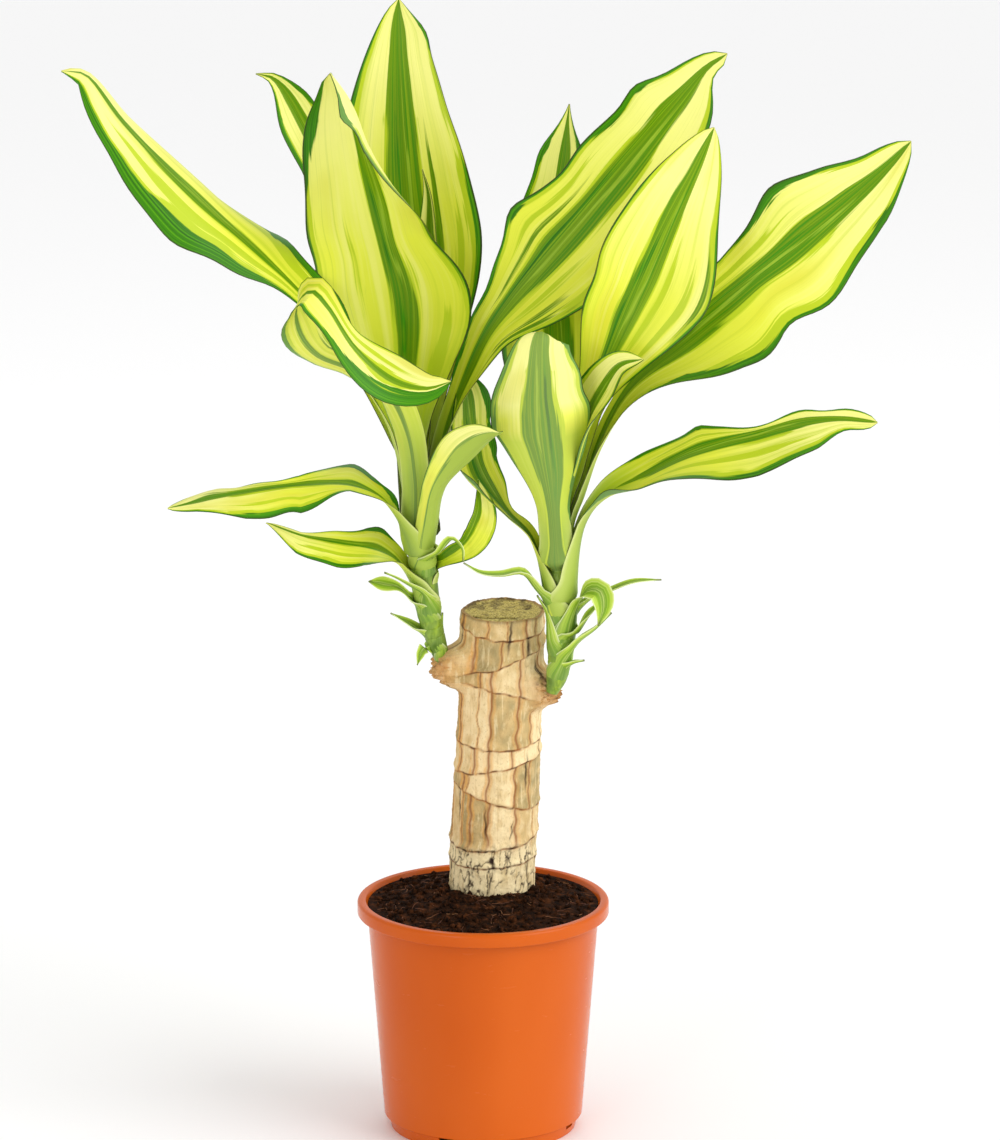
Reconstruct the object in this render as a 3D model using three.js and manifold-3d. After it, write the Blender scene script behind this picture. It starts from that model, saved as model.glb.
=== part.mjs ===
// A potted corn plant: a plastic nursery pot filled with soil, a sawn cane standing in it,
// and two leafy shoots that grow from calluses at the sides of the cane.
// Millimetres, +Z up, the viewer looks along +Y. The origin is the middle of the pot's foot.
import * as THREE from "three";
import { mergeVertices } from "three/addons/utils/BufferGeometryUtils.js";
import Module from "manifold-3d";

const wasm = await Module();
wasm.setup();

// ---- driving dimensions ----
const GAP = 0.35; // clearance between pieces that touch

const POT = {
  height: 162,
  lipRadius: 86.5,
  bead: 5, // width of the lip seen from above
  collar: 9.5, // height of the turned-down rim
  skirt: 1.8, // its thickness
  flare: 5, // how far under the lip the wall starts to widen
  topRadius: 79.8, // outside of the body there
  stepRadius: 68.4, // outside of the body where it steps in to the foot
  stepHeight: 9,
  footRadius: 64,
  wall: 1.8,
  floor: 2.5,
  recess: 2, // how far the floor's ring stands clear of the ground
  segments: 48,
};
// Drain slots: the direction of the first, and the radii and heights they are cut between.
const SLOTS = { count: 4, first: -113, width: 11, from: 61, to: 80, low: 4.6, high: 8.4 };

const SOIL = {
  radius: 79, // of its top, inside the widened wall
  fit: 0.65, // clearance to the wall all the way down
  edge: 159.3,
  mound: 166,
  level: 20, // radius of the level middle
  lump: 0.9,
  segments: 32,
  rings: 5,
};

const CANE = {
  bottom: 60,
  top: 361,
  sides: 28,
  rows: 34,
  lowRadius: 29.6,
  topRadius: 28.4,
  cutTilt: 2.5, // degrees that the sawn top leans towards the viewer
  tiltFrom: 341, // height that the lean starts at
  scarFrom: 176, // the buried foot is plain
};
// The cane's axis at the soil and at its top.
const CANE_FOOT = [6, 22];
const CANE_HEAD = [14, 22];
// Leaf scars: height, rise across the cane, direction that it rises to, ridge height.
const SCARS = [
  [188, 2, 40, 0.9],
  [203, 5, 50, 1.2],
  [235, 9, 160, 0.8],
  [258, 6, 20, 1.3],
  [275, 5, 90, 0.9],
  [311, 7, 180, 1.2],
  [332, 10, 15, 1.5],
  [354, 6, 100, 0.6],
];
const SCAR_WIDTH = 2.6;
// Calluses that the shoots grow from: direction, height, how far they stand out, spread.
const CALLUSES = [
  { turn: 192, height: 323, rise: 18, wide: 0.5, tall: 13.5 },
  { turn: -24, height: 309, rise: 13, wide: 0.46, tall: 13 },
];

const STEM_SIDES = 12;
const STEM_ROWS = 16;
const STEMS = {
  left: {
    points: [[-27, 15, 325], [-31, 14.5, 338], [-36, 12, 358], [-39, 10, 385], [-42, 9, 404],
      [-43, 8, 412], [-44, 7, 438], [-44.5, 8, 462]],
    radii: [4, 6.5, 8, 8, 8, 5.6, 5.2, 3.6],
  },
  right: {
    points: [[47, -4, 310], [50, -5, 320], [53, -6, 340], [53, -7, 364], [51.5, -8, 392], [51, -8, 400],
      [50, -7, 425], [48, -6, 450]],
    radii: [4, 7, 8.8, 8.8, 8.2, 5.6, 5.2, 3.6],
  },
};

const BLADE = {
  centre: 1.4, // thickness at the midrib
  edge: 0.8, // thickness at the edge
  root: 1.4, // thickness of the sheath
  layer: 1.8, // from one sheath to the next that wraps over it
  play: 0.25, // between the stem and the first sheath, besides the gap
  spread: 0.8, // how much further out the sheath stands at its collar
  crowd: 1.2, // power that crowds the rows towards the foot
  apart: 1.9, // radians between the ripples of the two edges
  tip: 0.6, // half width of the very tip
  flattest: 0.02, // the least half angle of a channel
  fine: [12, 6], // rows and columns
};

// Leaves, each held by a sheath that clasps its stem.
// height, turn: where the sheath starts and the direction it faces, 270 being the viewer.
// layer: how many sheaths it lies over. grip: how far round the stem it reaches, half angle.
// sheath: its length. route: the midrib after the sheath. faces: where the upper side looks.
// folds: half angle of the channel along the route, negative where the halves hang down.
// neck, width: across the stalk and the blade. rise, widest: shares of the length.
// point: how blunt the tip is. lean: the share of its width that one half gives the other.
// wave: height, ripples and phase of the edge.
// bumps: where an edge stands further out or in: which edge, where along the length, reach and size.
const LEAVES = {
  left_leaf_1: {
    shoot: "left", height: 420, turn: 180, layer: 1, grip: 0.8, sheath: 20,
    route: [[-63, 4, 493], [-88, 2, 539], [-114, 2, 578], [-182, 5, 647], [-239, 8, 703], [-266, 8, 736],
      [-282, 6, 738]],
    faces: [[0.8, -0.3, 0.5], [0.7, -0.45, 0.5], [0.6, -0.6, 0.5], [0.65, -0.35, 0.65], [0.65, -0.3, 0.65],
      [0.65, -0.3, 0.65], [0.6, -0.3, 0.7]],
    folds: [1, 0.65, 0.3, -1, -1.2, -1.1, -0.6],
    neck: 18, width: 92, rise: 0.42, widest: 0.68, point: 0.8, wave: [2.5, 2.5, 0.4],
    bumps: [[-1, 0.87, 0.08, -0.16], [-1, 0.6, 0.05, -0.13], [-1, 0.5, 0.03, -0.06],
      [-1, 0.44, 0.03, 0.15], [1, 0.42, 0.08, 1.2], [1, 0.545, 0.045, 0.8]],
  },
  left_leaf_2: {
    shoot: "left", height: 430, turn: 80, layer: 1, grip: 0.95, sheath: 18,
    route: [[-52, 20, 490], [-55, 24, 535], [-58, 26, 580], [-67, 24, 620], [-79, 16, 669], [-92, 6, 719],
      [-102, -2, 738]],
    faces: [[0.1, -1, 0.2], [0, -1, 0.1], [-0.3, -0.95, 0.1], [-0.8, -0.6, 0], [-0.8, -0.6, 0]],
    folds: [1, 0.6, 0.7, 1.1, 1.1],
    neck: 24, width: 112, rise: 0.1, widest: 0.5, point: 0.6, wave: [2, 2, 0],
    bumps: [[-1, 0.88, 0.1, 0.18], [-1, 0.58, 0.05, -0.08], [1, 0.6, 0.07, -0.26], [1, 0.94, 0.04, 0.45]],
  },
  left_leaf_3: {
    shoot: "left", height: 426, turn: 95, layer: 2, grip: 1, sheath: 20,
    route: [[-42, 32, 490], [-42, 44, 530], [-46, 56, 578], [-54, 66, 640], [-57, 72, 708], [-58, 76, 762],
      [-57, 76, 775]],
    faces: [[0, -1, 0.3], [0, -1, 0.2], [0, -1, 0.1]],
    folds: [1, 0.5, 0.4, 0.3, 0.3],
    neck: 24, width: 96, rise: 0.12, widest: 0.55, point: 0.75, wave: [2, 3, 1],
    bumps: [[1, 0.95, 0.04, 0.35], [1, 0.8, 0.07, -0.07], [1, 0.52, 0.14, 0.08]],
  },
  left_leaf_4: {
    shoot: "left", height: 418, turn: 262, layer: 3, grip: 1, sheath: 16, cells: [20, 6],
    route: [[-46, -12, 458], [-51, -20, 497], [-64, -28, 526], [-88, -34, 543], [-110, -39, 554],
      [-122, -44, 569], [-125, -51, 587], [-114, -59, 601], [-103, -62, 591], [-85, -62, 564],
      [-60, -62, 542], [-38, -61, 536], [-21, -59, 540]],
    faces: [[0.1, 1, 0], [0.2, 0.9, 0.4], [0.4, 0.8, 0.4], [0.4, 0.8, 0.4], [0.3, 0.8, 0.5],
      [-0.2, 0.7, 0.6], [-0.8, 0.1, 0.5], [-0.3, -0.4, 0.9], [0.3, -0.8, 0.5], [0.3, -0.9, 0.4],
      [0.2, -1, 0.3], [0.1, -1, 0.2], [0.1, -1, 0.2]],
    folds: [0.9, 0.6, 0.4, 0.4, 0.5, 0.6],
    neck: 22, width: 38, rise: 0.12, widest: 0.84, point: 0.7, wave: [1.5, 3, 0],
    bumps: [[-1, 0.74, 0.1, -0.6], [1, 0.75, 0.05, -0.2], [1, 0.57, 0.05, -0.3], [1, 0.48, 0.04, 0.3],
      [1, 0.33, 0.07, 0.9]],
  },
  left_leaf_5: {
    shoot: "left", height: 440, turn: 60, layer: 0, grip: 1.2, sheath: 16, cells: [10, 4],
    route: [[-40, 22, 500], [-37, 36, 558], [-36, 43, 612], [-37, 44, 647], [-41, 42, 664]],
    faces: [[-0.3, -1, 0], [-0.5, -0.8, 0]],
    folds: [1.2, 1.2, 1],
    neck: 15, width: 25, rise: 0.1, widest: 0.6, wave: [0, 2, 0],
  },
  left_leaf_6: {
    shoot: "left", height: 424, turn: 122, layer: 3, grip: 0.9, sheath: 18, cells: [11, 4],
    route: [[-57, 34, 484], [-70, 54, 536], [-88, 70, 595], [-106, 78, 650], [-128, 80, 697],
      [-143, 76, 720], [-154, 72, 724]],
    faces: [[0.4, -0.8, 0.3], [0.3, -1, 0.1], [0.1, -1, 0.1]],
    folds: [0.9, 0.5, 0.5, 0.6],
    neck: 20, width: 52, rise: 0.15, widest: 0.6, wave: [2, 2, 2],
    bumps: [[-1, 0.74, 0.06, -0.3], [-1, 0.88, 0.05, 0.3], [1, 0.92, 0.05, 0.5], [-1, 0.14, 0.06, -0.4]],
  },
  left_leaf_7: {
    shoot: "left", height: 420, turn: 15, layer: 3, grip: 1, sheath: 20,
    route: [[-27, 16, 480], [-12, 24, 523], [11, 30, 567], [67, 38, 636], [121, 46, 699], [151, 50, 732],
      [165, 50, 742]],
    faces: [[-0.8, -0.5, 0.4], [-0.3, -0.9, 0.2], [0.2, -0.9, 0.1], [0.2, -0.9, 0.1]],
    folds: [1, 0.6, 0.5, 0.4, 0.3],
    neck: 22, width: 86, rise: 0.22, widest: 0.6, point: 0.65, lean: [0.15, 0.4, 0.25, 0.15, 0.1],
    wave: [3.5, 2, 0.5],
    bumps: [[-1, 0.55, 0.04, 0.3], [-1, 0.42, 0.035, -0.14], [-1, 0.66, 0.04, -0.12],
      [-1, 0.855, 0.035, 0.34], [-1, 0.31, 0.06, 0.25], [1, 0.96, 0.035, -0.5], [1, 0.35, 0.06, -0.35]],
  },
  left_leaf_8: {
    shoot: "left", height: 414, turn: 70, layer: 4, grip: 0.7, sheath: 20, cells: [11, 4],
    route: [[-42, 44, 486], [-40, 76, 540], [-42, 112, 600], [-48, 142, 650], [-50, 158, 678]],
    faces: [[0, -1, 0.5], [0, -1, 0.5], [0, -1, 0.4]],
    folds: [0.9, 0.5, 0.3],
    neck: 20, width: 64, rise: 0.2, widest: 0.55, wave: [3, 2, 1],
  },
  left_leaf_9: {
    shoot: "left", height: 394, turn: 300, layer: 0, grip: 1.5, sheath: 12,
    route: [[-36, -12, 430], [-30, -26, 458], [-13, -42, 483], [1, -54, 499], [11, -63, 506]],
    faces: [[-0.3, 0.8, 0.4], [-0.42, 0.68, 0.35], [-0.42, 0.68, 0.35]],
    folds: [1.1, 1.1, 1.1, 0.9],
    neck: 20, width: 46, rise: 0.36, widest: 0.78, point: 0.5, wave: [1, 2, 0],
    bumps: [[1, 0.6, 0.15, -0.12], [-1, 0.7, 0.25, -0.6]],
  },
  left_leaf_10: {
    shoot: "left", height: 402, turn: 236, layer: 1, grip: 1.1, sheath: 10, cells: [12, 4],
    route: [[-60, -12, 438], [-70, -15, 450], [-90, -15, 458], [-124, -15, 459], [-164, -18, 454],
      [-195, -20, 447], [-213, -20, 443]],
    faces: [[0.6, 0.1, 0.8], [0.1, -0.4, 0.9], [0, -0.45, 0.9], [0, -0.45, 0.9]],
    folds: [1, 0, -0.5, -0.5, -0.3],
    neck: 15, width: 36, rise: 0.18, widest: 0.5, point: 0.6, lean: [0, 0.2, 0.45, -0.5, -0.45, 0, 0],
    wave: [2.5, 2, 1],
    bumps: [[1, 0.87, 0.06, 2.2], [1, 0.6, 0.07, -0.6], [1, 0.37, 0.08, 0.6], [-1, 0.6, 0.07, -0.2],
      [1, 0.22, 0.05, 0.5]],
  },
  left_leaf_11: {
    shoot: "left", height: 368, turn: 190, layer: 0, grip: 1.7, sheath: 14, cells: [10, 4],
    route: [[-58, 4, 400], [-70, 2, 408], [-97, 0, 414], [-124, -2, 420], [-147, -4, 429]],
    faces: [[0.7, -0.2, 0.7], [0.2, -0.6, 0.8], [0, -0.6, 0.8]],
    folds: [1, 0, -0.3, -0.2],
    neck: 14, width: 34, rise: 0.12, widest: 0.42, point: 0.9, lean: [0, 0, -0.4, -0.7, 0],
    wave: [2, 1.5, 2],
    bumps: [[1, 0.42, 0.07, 0.35], [-1, 0.72, 0.12, -0.18]],
  },
  left_leaf_12: {
    shoot: "left", height: 384, turn: 50, layer: 0, grip: 1, sheath: 10, cells: [9, 4],
    route: [[-26, 6, 401], [-11, -2, 415], [-1, -6, 436], [-3, -8, 460]],
    faces: [[-0.3, -0.9, 0.3], [0.6, -0.8, 0], [0.6, -0.8, 0]],
    folds: [1, 0.7, 0.5],
    neck: 10, width: 27, rise: 0.2, widest: 0.6, wave: [0.5, 2, 0],
    bumps: [[-1, 0.5, 0.12, -0.5]],
  },
  right_leaf_1: {
    shoot: "right", height: 398, turn: 265, layer: 3, grip: 1, sheath: 20,
    route: [[46, -26, 452], [41, -34, 490], [38, -42, 523], [38, -46, 552], [39, -42, 568], [41, -24, 564]],
    faces: [[0, 1, 0.2], [0, 1, 0.1], [0, 1, 0], [0, 0.5, -1]],
    folds: [1, 0.7, 0.7, 0.7],
    neck: 24, width: 74, rise: 0.2, widest: 0.6, wave: [1, 2, 0],
    bumps: [[-1, 0.34, 0.12, 0.45], [-1, 0.9, 0.04, 0.4], [-1, 0.68, 0.06, -0.1], [1, 0.52, 0.04, 0.1],
      [1, 0.75, 0.1, -0.12]],
  },
  right_leaf_2: {
    shoot: "right", height: 414, turn: 45, layer: 1, grip: 1, sheath: 18,
    route: [[62, 6, 470], [74, 4, 516], [86, -1, 548], [107, -6, 600], [124, -8, 639], [143, -4, 676],
      [155, 0, 701]],
    faces: [[-0.3, -1, 0.3], [0.1, -1, 0.2], [0.3, -0.95, 0.1], [0.3, -0.95, 0.1]],
    folds: [1, 0.5, 0.4, 0.3],
    neck: 22, width: 82, rise: 0.3, widest: 0.62, point: 0.7, lean: [0.1, 0.1, -0.1], wave: [1.5, 2, 0],
    bumps: [[-1, 0.6, 0.05, -0.12], [1, 0.66, 0.12, 0.1]],
  },
  right_leaf_3: {
    shoot: "right", height: 406, turn: 5, layer: 2, grip: 0.9, sheath: 20,
    route: [[68, 2, 448], [79, 8, 484], [98, 14, 519], [148, 24, 566], [200, 30, 606], [239, 32, 638],
      [277, 34, 672], [289, 34, 685]],
    faces: [[-0.8, -0.3, 0.5], [-0.4, -0.8, 0.4], [0.1, -1, 0], [0.1, -1, 0]],
    folds: [1, 0.6, 0.3, 0.3, 0.2],
    neck: 22, width: 84, rise: 0.28, widest: 0.62, point: 0.68, lean: [0.3, 0.55, 0.45, -0.1, -0.15],
    wave: [3.5, 2, 1],
    bumps: [[-1, 0.755, 0.06, 0.34], [-1, 0.92, 0.05, -0.2], [1, 0.63, 0.06, -0.28], [1, 0.42, 0.07, 0.34],
      [1, 0.88, 0.07, 0.2]],
  },
  right_leaf_4: {
    shoot: "right", height: 412, turn: 318, layer: 0, grip: 1, sheath: 16, cells: [9, 4],
    route: [[63, -14, 470], [70, -18, 503], [80, -22, 525], [92, -25, 543], [108, -28, 548]],
    faces: [[-0.5, -0.2, 0.7], [-0.4, -0.6, 0.7], [-0.3, -0.7, 0.7]],
    folds: [1, 0.7, 0.5],
    neck: 13, width: 42, rise: 0.3, widest: 0.64, point: 0.8, wave: [1, 2, 0],
  },
  right_leaf_5: {
    shoot: "right", height: 374, turn: 350, layer: 1, grip: 1.4, sheath: 18, cells: [13, 4],
    route: [[69, -10, 430], [84, -13, 451], [108, -18, 465], [141, -24, 484], [183, -31, 499],
      [226, -37, 509], [265, -39, 507]],
    faces: [[-0.8, 0, 0.5], [-0.3, -0.45, 0.83], [-0.1, -0.68, 0.73]],
    folds: [1, 0.4, 0.1, 0],
    neck: 22, width: 56, rise: 0.2, widest: 0.6, point: 0.6, lean: [0, 0, 0.1, 0.25, 0.55, 0.45, 0],
    wave: [2.5, 2.5, 1],
    bumps: [[-1, 0.4, 0.05, 0.15], [-1, 0.56, 0.025, 0.15], [-1, 0.71, 0.08, -0.85],
      [-1, 0.875, 0.04, -0.25], [1, 0.34, 0.07, 0.8], [1, 0.65, 0.12, 0.08], [1, 0.93, 0.05, -0.45]],
  },
  right_leaf_6: {
    shoot: "right", height: 408, turn: 105, layer: 2, grip: 0.8, sheath: 18,
    route: [[48, 20, 476], [47, 36, 519], [46, 60, 570], [47, 80, 621], [53, 92, 661], [59, 100, 698]],
    faces: [[0, -1, 0.4], [0, -1, 0.3], [0, -1, 0.2]],
    folds: [1, 0.5, 0.4, 0.5],
    neck: 20, width: 72, rise: 0.12, widest: 0.45, wave: [2, 2, 0],
    bumps: [[-1, 0.9, 0.05, 0.45], [1, 0.9, 0.05, 0.5]],
  },
  right_leaf_7: {
    shoot: "right", height: 364, turn: 190, layer: 0, grip: 1.4, sheath: 18, cells: [11, 4],
    route: [[33, -4, 418], [18, 2, 434], [5, 8, 450], [-4, 14, 467], [-9, 22, 492], [-12, 30, 513],
      [-17, 38, 534]],
    faces: [[0.8, -0.4, 0.4], [0.6, -0.8, 0.3], [0.4, -0.9, 0.3]],
    folds: [1, 0.6, 0.5],
    neck: 13, width: 38, rise: 0.25, widest: 0.6, lean: [0, 0, -0.2, -0.4, -0.3, 0, 0], wave: [1.5, 2, 0],
    bumps: [[1, 0.42, 0.07, -0.5], [1, 0.68, 0.08, 0.4], [-1, 0.56, 0.06, 0.5], [1, 0.87, 0.1, 0.8]],
  },
  right_leaf_8: {
    shoot: "right", height: 402, turn: 70, layer: 3, grip: 0.7, sheath: 20, cells: [11, 4],
    route: [[60, 32, 472], [74, 62, 524], [92, 94, 572], [110, 118, 618], [124, 132, 656]],
    faces: [[0, -1, 0.5], [-0.1, -1, 0.5], [-0.1, -1, 0.4]],
    folds: [0.9, 0.5, 0.3],
    neck: 20, width: 60, rise: 0.2, widest: 0.55, wave: [3, 2, 2],
  },
};

// Scale leaves at the foot of each shoot, grown to its stem: the same measures as a leaf's.
const SCALES = [
  {
    shoot: "left", height: 332, turn: 200, route: [[-49, 12, 353], [-63, 11, 362]],
    faces: [[0.6, -0.4, 0.8]], folds: [0.8, 0.5], neck: 11, width: 11, rise: 0.2, widest: 0.4,
  },
  {
    shoot: "left", height: 327, turn: 215, route: [[-42, 11, 334], [-45, 11, 325]],
    faces: [[0.3, -0.4, 0.8]], folds: [0.8, 0.4], neck: 7, width: 10, rise: 0.2, widest: 0.4,
  },
  {
    shoot: "left", height: 356, turn: 195,
    route: [[-52, 5, 377], [-58, 4, 382], [-67, 4, 384], [-78, 4, 386]],
    faces: [[0.4, -0.8, 0.5]], folds: [1, 0.4, 0.4], neck: 5, width: 11, rise: 0.5, widest: 0.8,
  },
  {
    shoot: "left", height: 360, turn: 255,
    route: [[-41, -1, 379], [-50, -2, 385], [-60, -2, 391], [-67, -2, 394]],
    faces: [[0.4, 0.4, 0.8]], folds: [1, 0.5, 0.5], neck: 9, width: 9, rise: 0.2, widest: 0.3,
  },
  {
    shoot: "left", height: 390, turn: 318,
    route: [[-29, -8, 410], [-21, -12, 420], [-14, -13, 414], [-13, -13, 404]],
    faces: [[-0.7, 0.5, 0.5], [0.6, 0.3, 0.7], [0.9, 0.1, 0.3]], folds: [1, 0.5, 0.5], neck: 10, width: 9,
    rise: 0.2, widest: 0.4,
  },
  {
    shoot: "left", height: 330, turn: 350, route: [[-28, 12, 352], [-28, 12, 362]],
    faces: [[-1, 0, 0.1]], folds: [0.9, 0.6], neck: 9, width: 8, rise: 0.1, widest: 0.3,
  },
  {
    shoot: "right", height: 360, turn: 215,
    route: [[35, -15, 387], [27, -18, 397], [12, -19, 396], [-2, -19, 398], [-13, -19, 405]],
    faces: [[0.7, 0.2, 0.6], [0.1, -0.4, 0.9]], folds: [1, 0.7, 0.4], neck: 12, width: 16, rise: 0.3,
    widest: 0.3,
  },
  {
    shoot: "right", height: 344, turn: 318,
    route: [[64, -18, 375], [72, -24, 387], [79, -28, 387], [81.5, -29, 377], [78, -28, 363]],
    faces: [[-0.7, 0.5, 0.5], [-0.3, -0.8, 0.6], [0.2, -1, 0.3], [0.6, -0.8, 0]], folds: [1, 0.6, 0.5, 0.4],
    neck: 12, width: 17, rise: 0.3, widest: 0.7,
  },
  {
    shoot: "right", height: 340, turn: 328, route: [[65, -15, 356], [72, -18, 368], [79, -19, 377]],
    faces: [[-0.7, 0.2, 0.6], [-0.5, -0.5, 0.7]], folds: [1, 0.6, 0.4], neck: 10, width: 13, rise: 0.3,
    widest: 0.6,
  },
  {
    shoot: "right", height: 352, turn: 345,
    route: [[73, -12, 378], [88, -15, 385], [102, -17, 391], [121, -18, 393]],
    faces: [[-0.6, 0, 0.8], [-0.1, -0.4, 0.9]], folds: [1, 0.7, 0.4], neck: 8, width: 8, rise: 0.4,
    widest: 0.6,
  },
  {
    shoot: "right", height: 320, turn: 300, route: [[64, -17, 348], [76, -20, 359], [87, -22, 371]],
    faces: [[-0.6, 0.2, 0.7], [-0.5, 0.1, 0.8]], folds: [1, 0.6, 0.4], neck: 12, width: 12, rise: 0.3,
    widest: 0.5,
  },
  {
    shoot: "right", height: 315, turn: 310, route: [[61, -13, 333], [69, -16, 336]],
    faces: [[-0.4, 0.2, 0.8]], folds: [1, 0.5], neck: 11, width: 10, rise: 0.2, widest: 0.4,
  },
  {
    shoot: "right", height: 338, turn: 190, route: [[43, -10, 368], [37, -10, 380]],
    faces: [[0.9, 0, 0.3]], folds: [1, 0.6], neck: 15, width: 13, rise: 0.2, widest: 0.3,
  },
];
const SCALE_COMMON = { layer: 0, grip: 1.3, sheath: 12, cells: [5, 2], wave: [0, 1, 0], sunk: 0.9 };

// ---- curves ----
const vector = (point) => new THREE.Vector3(...point);
const clamped = (value) => Math.min(Math.max(value, 0), 1);
const smooth = (value) => clamped(value) ** 2 * (3 - 2 * clamped(value));
const mix = (a, b, share) => a + (b - a) * share;

// The value a share of the way along a list of numbers or vectors.
function along(values, share) {
  const place = clamped(share) * (values.length - 1);
  const index = Math.floor(place);
  const [a, b] = [values[index], values[index + 1] ?? values[index]];
  if (Array.isArray(a)) return a.map((number, axis) => mix(number, b[axis], place - index));
  return mix(a, b, place - index);
}

for (const stem of Object.values(STEMS)) stem.axis = new THREE.CatmullRomCurve3(stem.points.map(vector));

// The stem's centre and radius at a height.
function stemAt(stem, height) {
  let [low, high] = [0, 1];
  while (high - low > 1e-4) {
    const middle = (low + high) / 2;
    if (stem.axis.getPoint(middle).z < height) low = middle;
    else high = middle;
  }
  const centre = stem.axis.getPoint(low);
  centre.z = height;
  return { centre, radius: along(stem.radii, low) };
}

// ---- meshes and solids ----
function meshFrom(points, faces) {
  const geometry = new THREE.BufferGeometry();
  const numbers = points.flatMap((point) => point.toArray());
  geometry.setAttribute("position", new THREE.Float32BufferAttribute(numbers, 3));
  geometry.setIndex(faces.flat());
  return geometry;
}

// A closed skin through rings of points, with the first and last ring capped.
function loft(rings) {
  const count = rings[0].length;
  const points = rings.flat();
  const faces = [];
  for (let row = 0; row < rings.length - 1; row++) {
    for (let side = 0; side < count; side++) {
      const [a, b] = [row * count + side, row * count + ((side + 1) % count)];
      faces.push([a, b, b + count], [a, b + count, a + count]);
    }
  }
  for (const end of [0, rings.length - 1]) {
    const middle = rings[end].reduce((sum, p) => sum.add(p), new THREE.Vector3()).divideScalar(count);
    points.push(middle);
    for (let side = 0; side < count; side++) {
      const [a, b] = [end * count + side, end * count + ((side + 1) % count)];
      faces.push(end ? [a, b, points.length - 1] : [b, a, points.length - 1]);
    }
  }
  return meshFrom(points, faces);
}

function solid(geometry) {
  const bare = geometry.clone();
  bare.deleteAttribute("normal");
  bare.deleteAttribute("uv");
  const merged = mergeVertices(bare, 1e-3);
  const mesh = new wasm.Mesh({
    numProp: 3,
    vertProperties: merged.attributes.position.array,
    triVerts: new Uint32Array(merged.index.array),
  });
  return new wasm.Manifold(mesh);
}

function geometryOf(body) {
  const mesh = body.getMesh();
  const geometry = new THREE.BufferGeometry();
  geometry.setAttribute("position", new THREE.BufferAttribute(mesh.vertProperties, 3));
  geometry.setIndex(new THREE.BufferAttribute(mesh.triVerts, 1));
  return geometry;
}

const largest = (body) => body.decompose().reduce((a, b) => (a.volume() > b.volume() ? a : b));

// ---- pot ----
// The pot's section: from the middle of its base, up its outside, over the lip and down inside.
function potProfile() {
  const { height, lipRadius, bead, collar, skirt, flare, topRadius, stepRadius, stepHeight } = POT;
  const { footRadius, wall, floor, recess } = POT;
  const [under, joint] = [height - collar, height - flare];
  const [lipInside, footInside] = [lipRadius - bead, footRadius - wall];
  return [
    [0, 0], [18, 0], [20, recess], [48, recess], [50, 0], [footRadius - 0.8, 0], [footRadius, 1],
    [footRadius + 1, stepHeight - 1.2], [stepRadius, stepHeight],
    [topRadius, joint], [lipRadius - skirt, joint],
    [lipRadius - skirt, under], [lipRadius - 0.6, under], [lipRadius, under + 1],
    [lipRadius, height - 2], [lipRadius - 0.8, height - 0.5], [lipRadius - 2.2, height],
    [lipInside, height], [lipInside - 0.8, height - 0.6], [lipInside - 1.2, height - 1.5],
    [topRadius - wall, joint],
    [stepRadius - wall, stepHeight + wall], [footInside + 0.8, stepHeight + wall - 1],
    [footInside, floor + recess], [0, floor + recess],
  ];
}

function pot() {
  const outline = potProfile().map(([radius, height]) => new THREE.Vector2(radius, height));
  const turned = new THREE.LatheGeometry(outline, POT.segments);
  turned.rotateX(Math.PI / 2);
  let body = solid(turned);
  const { count, first, width, from, to, low, high } = SLOTS;
  const slot = new THREE.BoxGeometry(to - from, width, high - low);
  slot.translate((from + to) / 2, 0, (low + high) / 2);
  for (let index = 0; index < count; index++) {
    const angle = THREE.MathUtils.degToRad(first + (index * 360) / count);
    body = body.subtract(solid(slot.clone().rotateZ(angle)));
  }
  return body;
}

// ---- cane ----
function caneCentre(height) {
  const share = Math.max((height - SOIL.mound) / (CANE.top - SOIL.mound), 0);
  return CANE_FOOT.map((foot, axis) => mix(foot, CANE_HEAD[axis], share));
}

// How far one direction is from another, from -pi to pi.
function turnedBy(turn, degrees) {
  const away = turn - THREE.MathUtils.degToRad(degrees);
  return Math.atan2(Math.sin(away), Math.cos(away));
}

function caneRadius(turn, height) {
  const plain = mix(CANE.lowRadius, CANE.topRadius, clamped((height - SOIL.mound) / (CANE.top - SOIL.mound)));
  let relief = 0;
  for (const [level, rise, toward, ridge] of SCARS) {
    const away = height - level - rise * Math.cos(turnedBy(turn, toward));
    relief += ridge * Math.exp(-((away / SCAR_WIDTH) ** 2));
  }
  for (const callus of CALLUSES) {
    const around = turnedBy(turn, callus.turn) / callus.wide;
    const spread = around ** 4 + ((height - callus.height) / callus.tall) ** 4;
    relief += callus.rise * Math.exp(-spread);
  }
  relief += 0.5 * Math.sin(5 * turn + 0.03 * height) + 0.4 * Math.sin(8 * turn - 0.05 * height);
  return plain + relief * smooth((height - CANE.scarFrom) / 6);
}

function cane() {
  const rings = [];
  const tilt = Math.tan(THREE.MathUtils.degToRad(CANE.cutTilt));
  for (let row = 0; row <= CANE.rows; row++) {
    const level = row === 0 ? CANE.bottom : mix(CANE.scarFrom, CANE.top, (row - 1) / (CANE.rows - 1));
    const [x, y] = caneCentre(level);
    const leaning = tilt * clamped((level - CANE.tiltFrom) / (CANE.top - CANE.tiltFrom));
    const ring = [];
    for (let side = 0; side < CANE.sides; side++) {
      const turn = (2 * Math.PI * side) / CANE.sides;
      const radius = caneRadius(turn, level);
      const [across, back] = [radius * Math.cos(turn), radius * Math.sin(turn)];
      ring.push(new THREE.Vector3(x + across, y + back, level + leaning * back));
    }
    rings.push(ring);
  }
  return solid(loft(rings));
}

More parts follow.
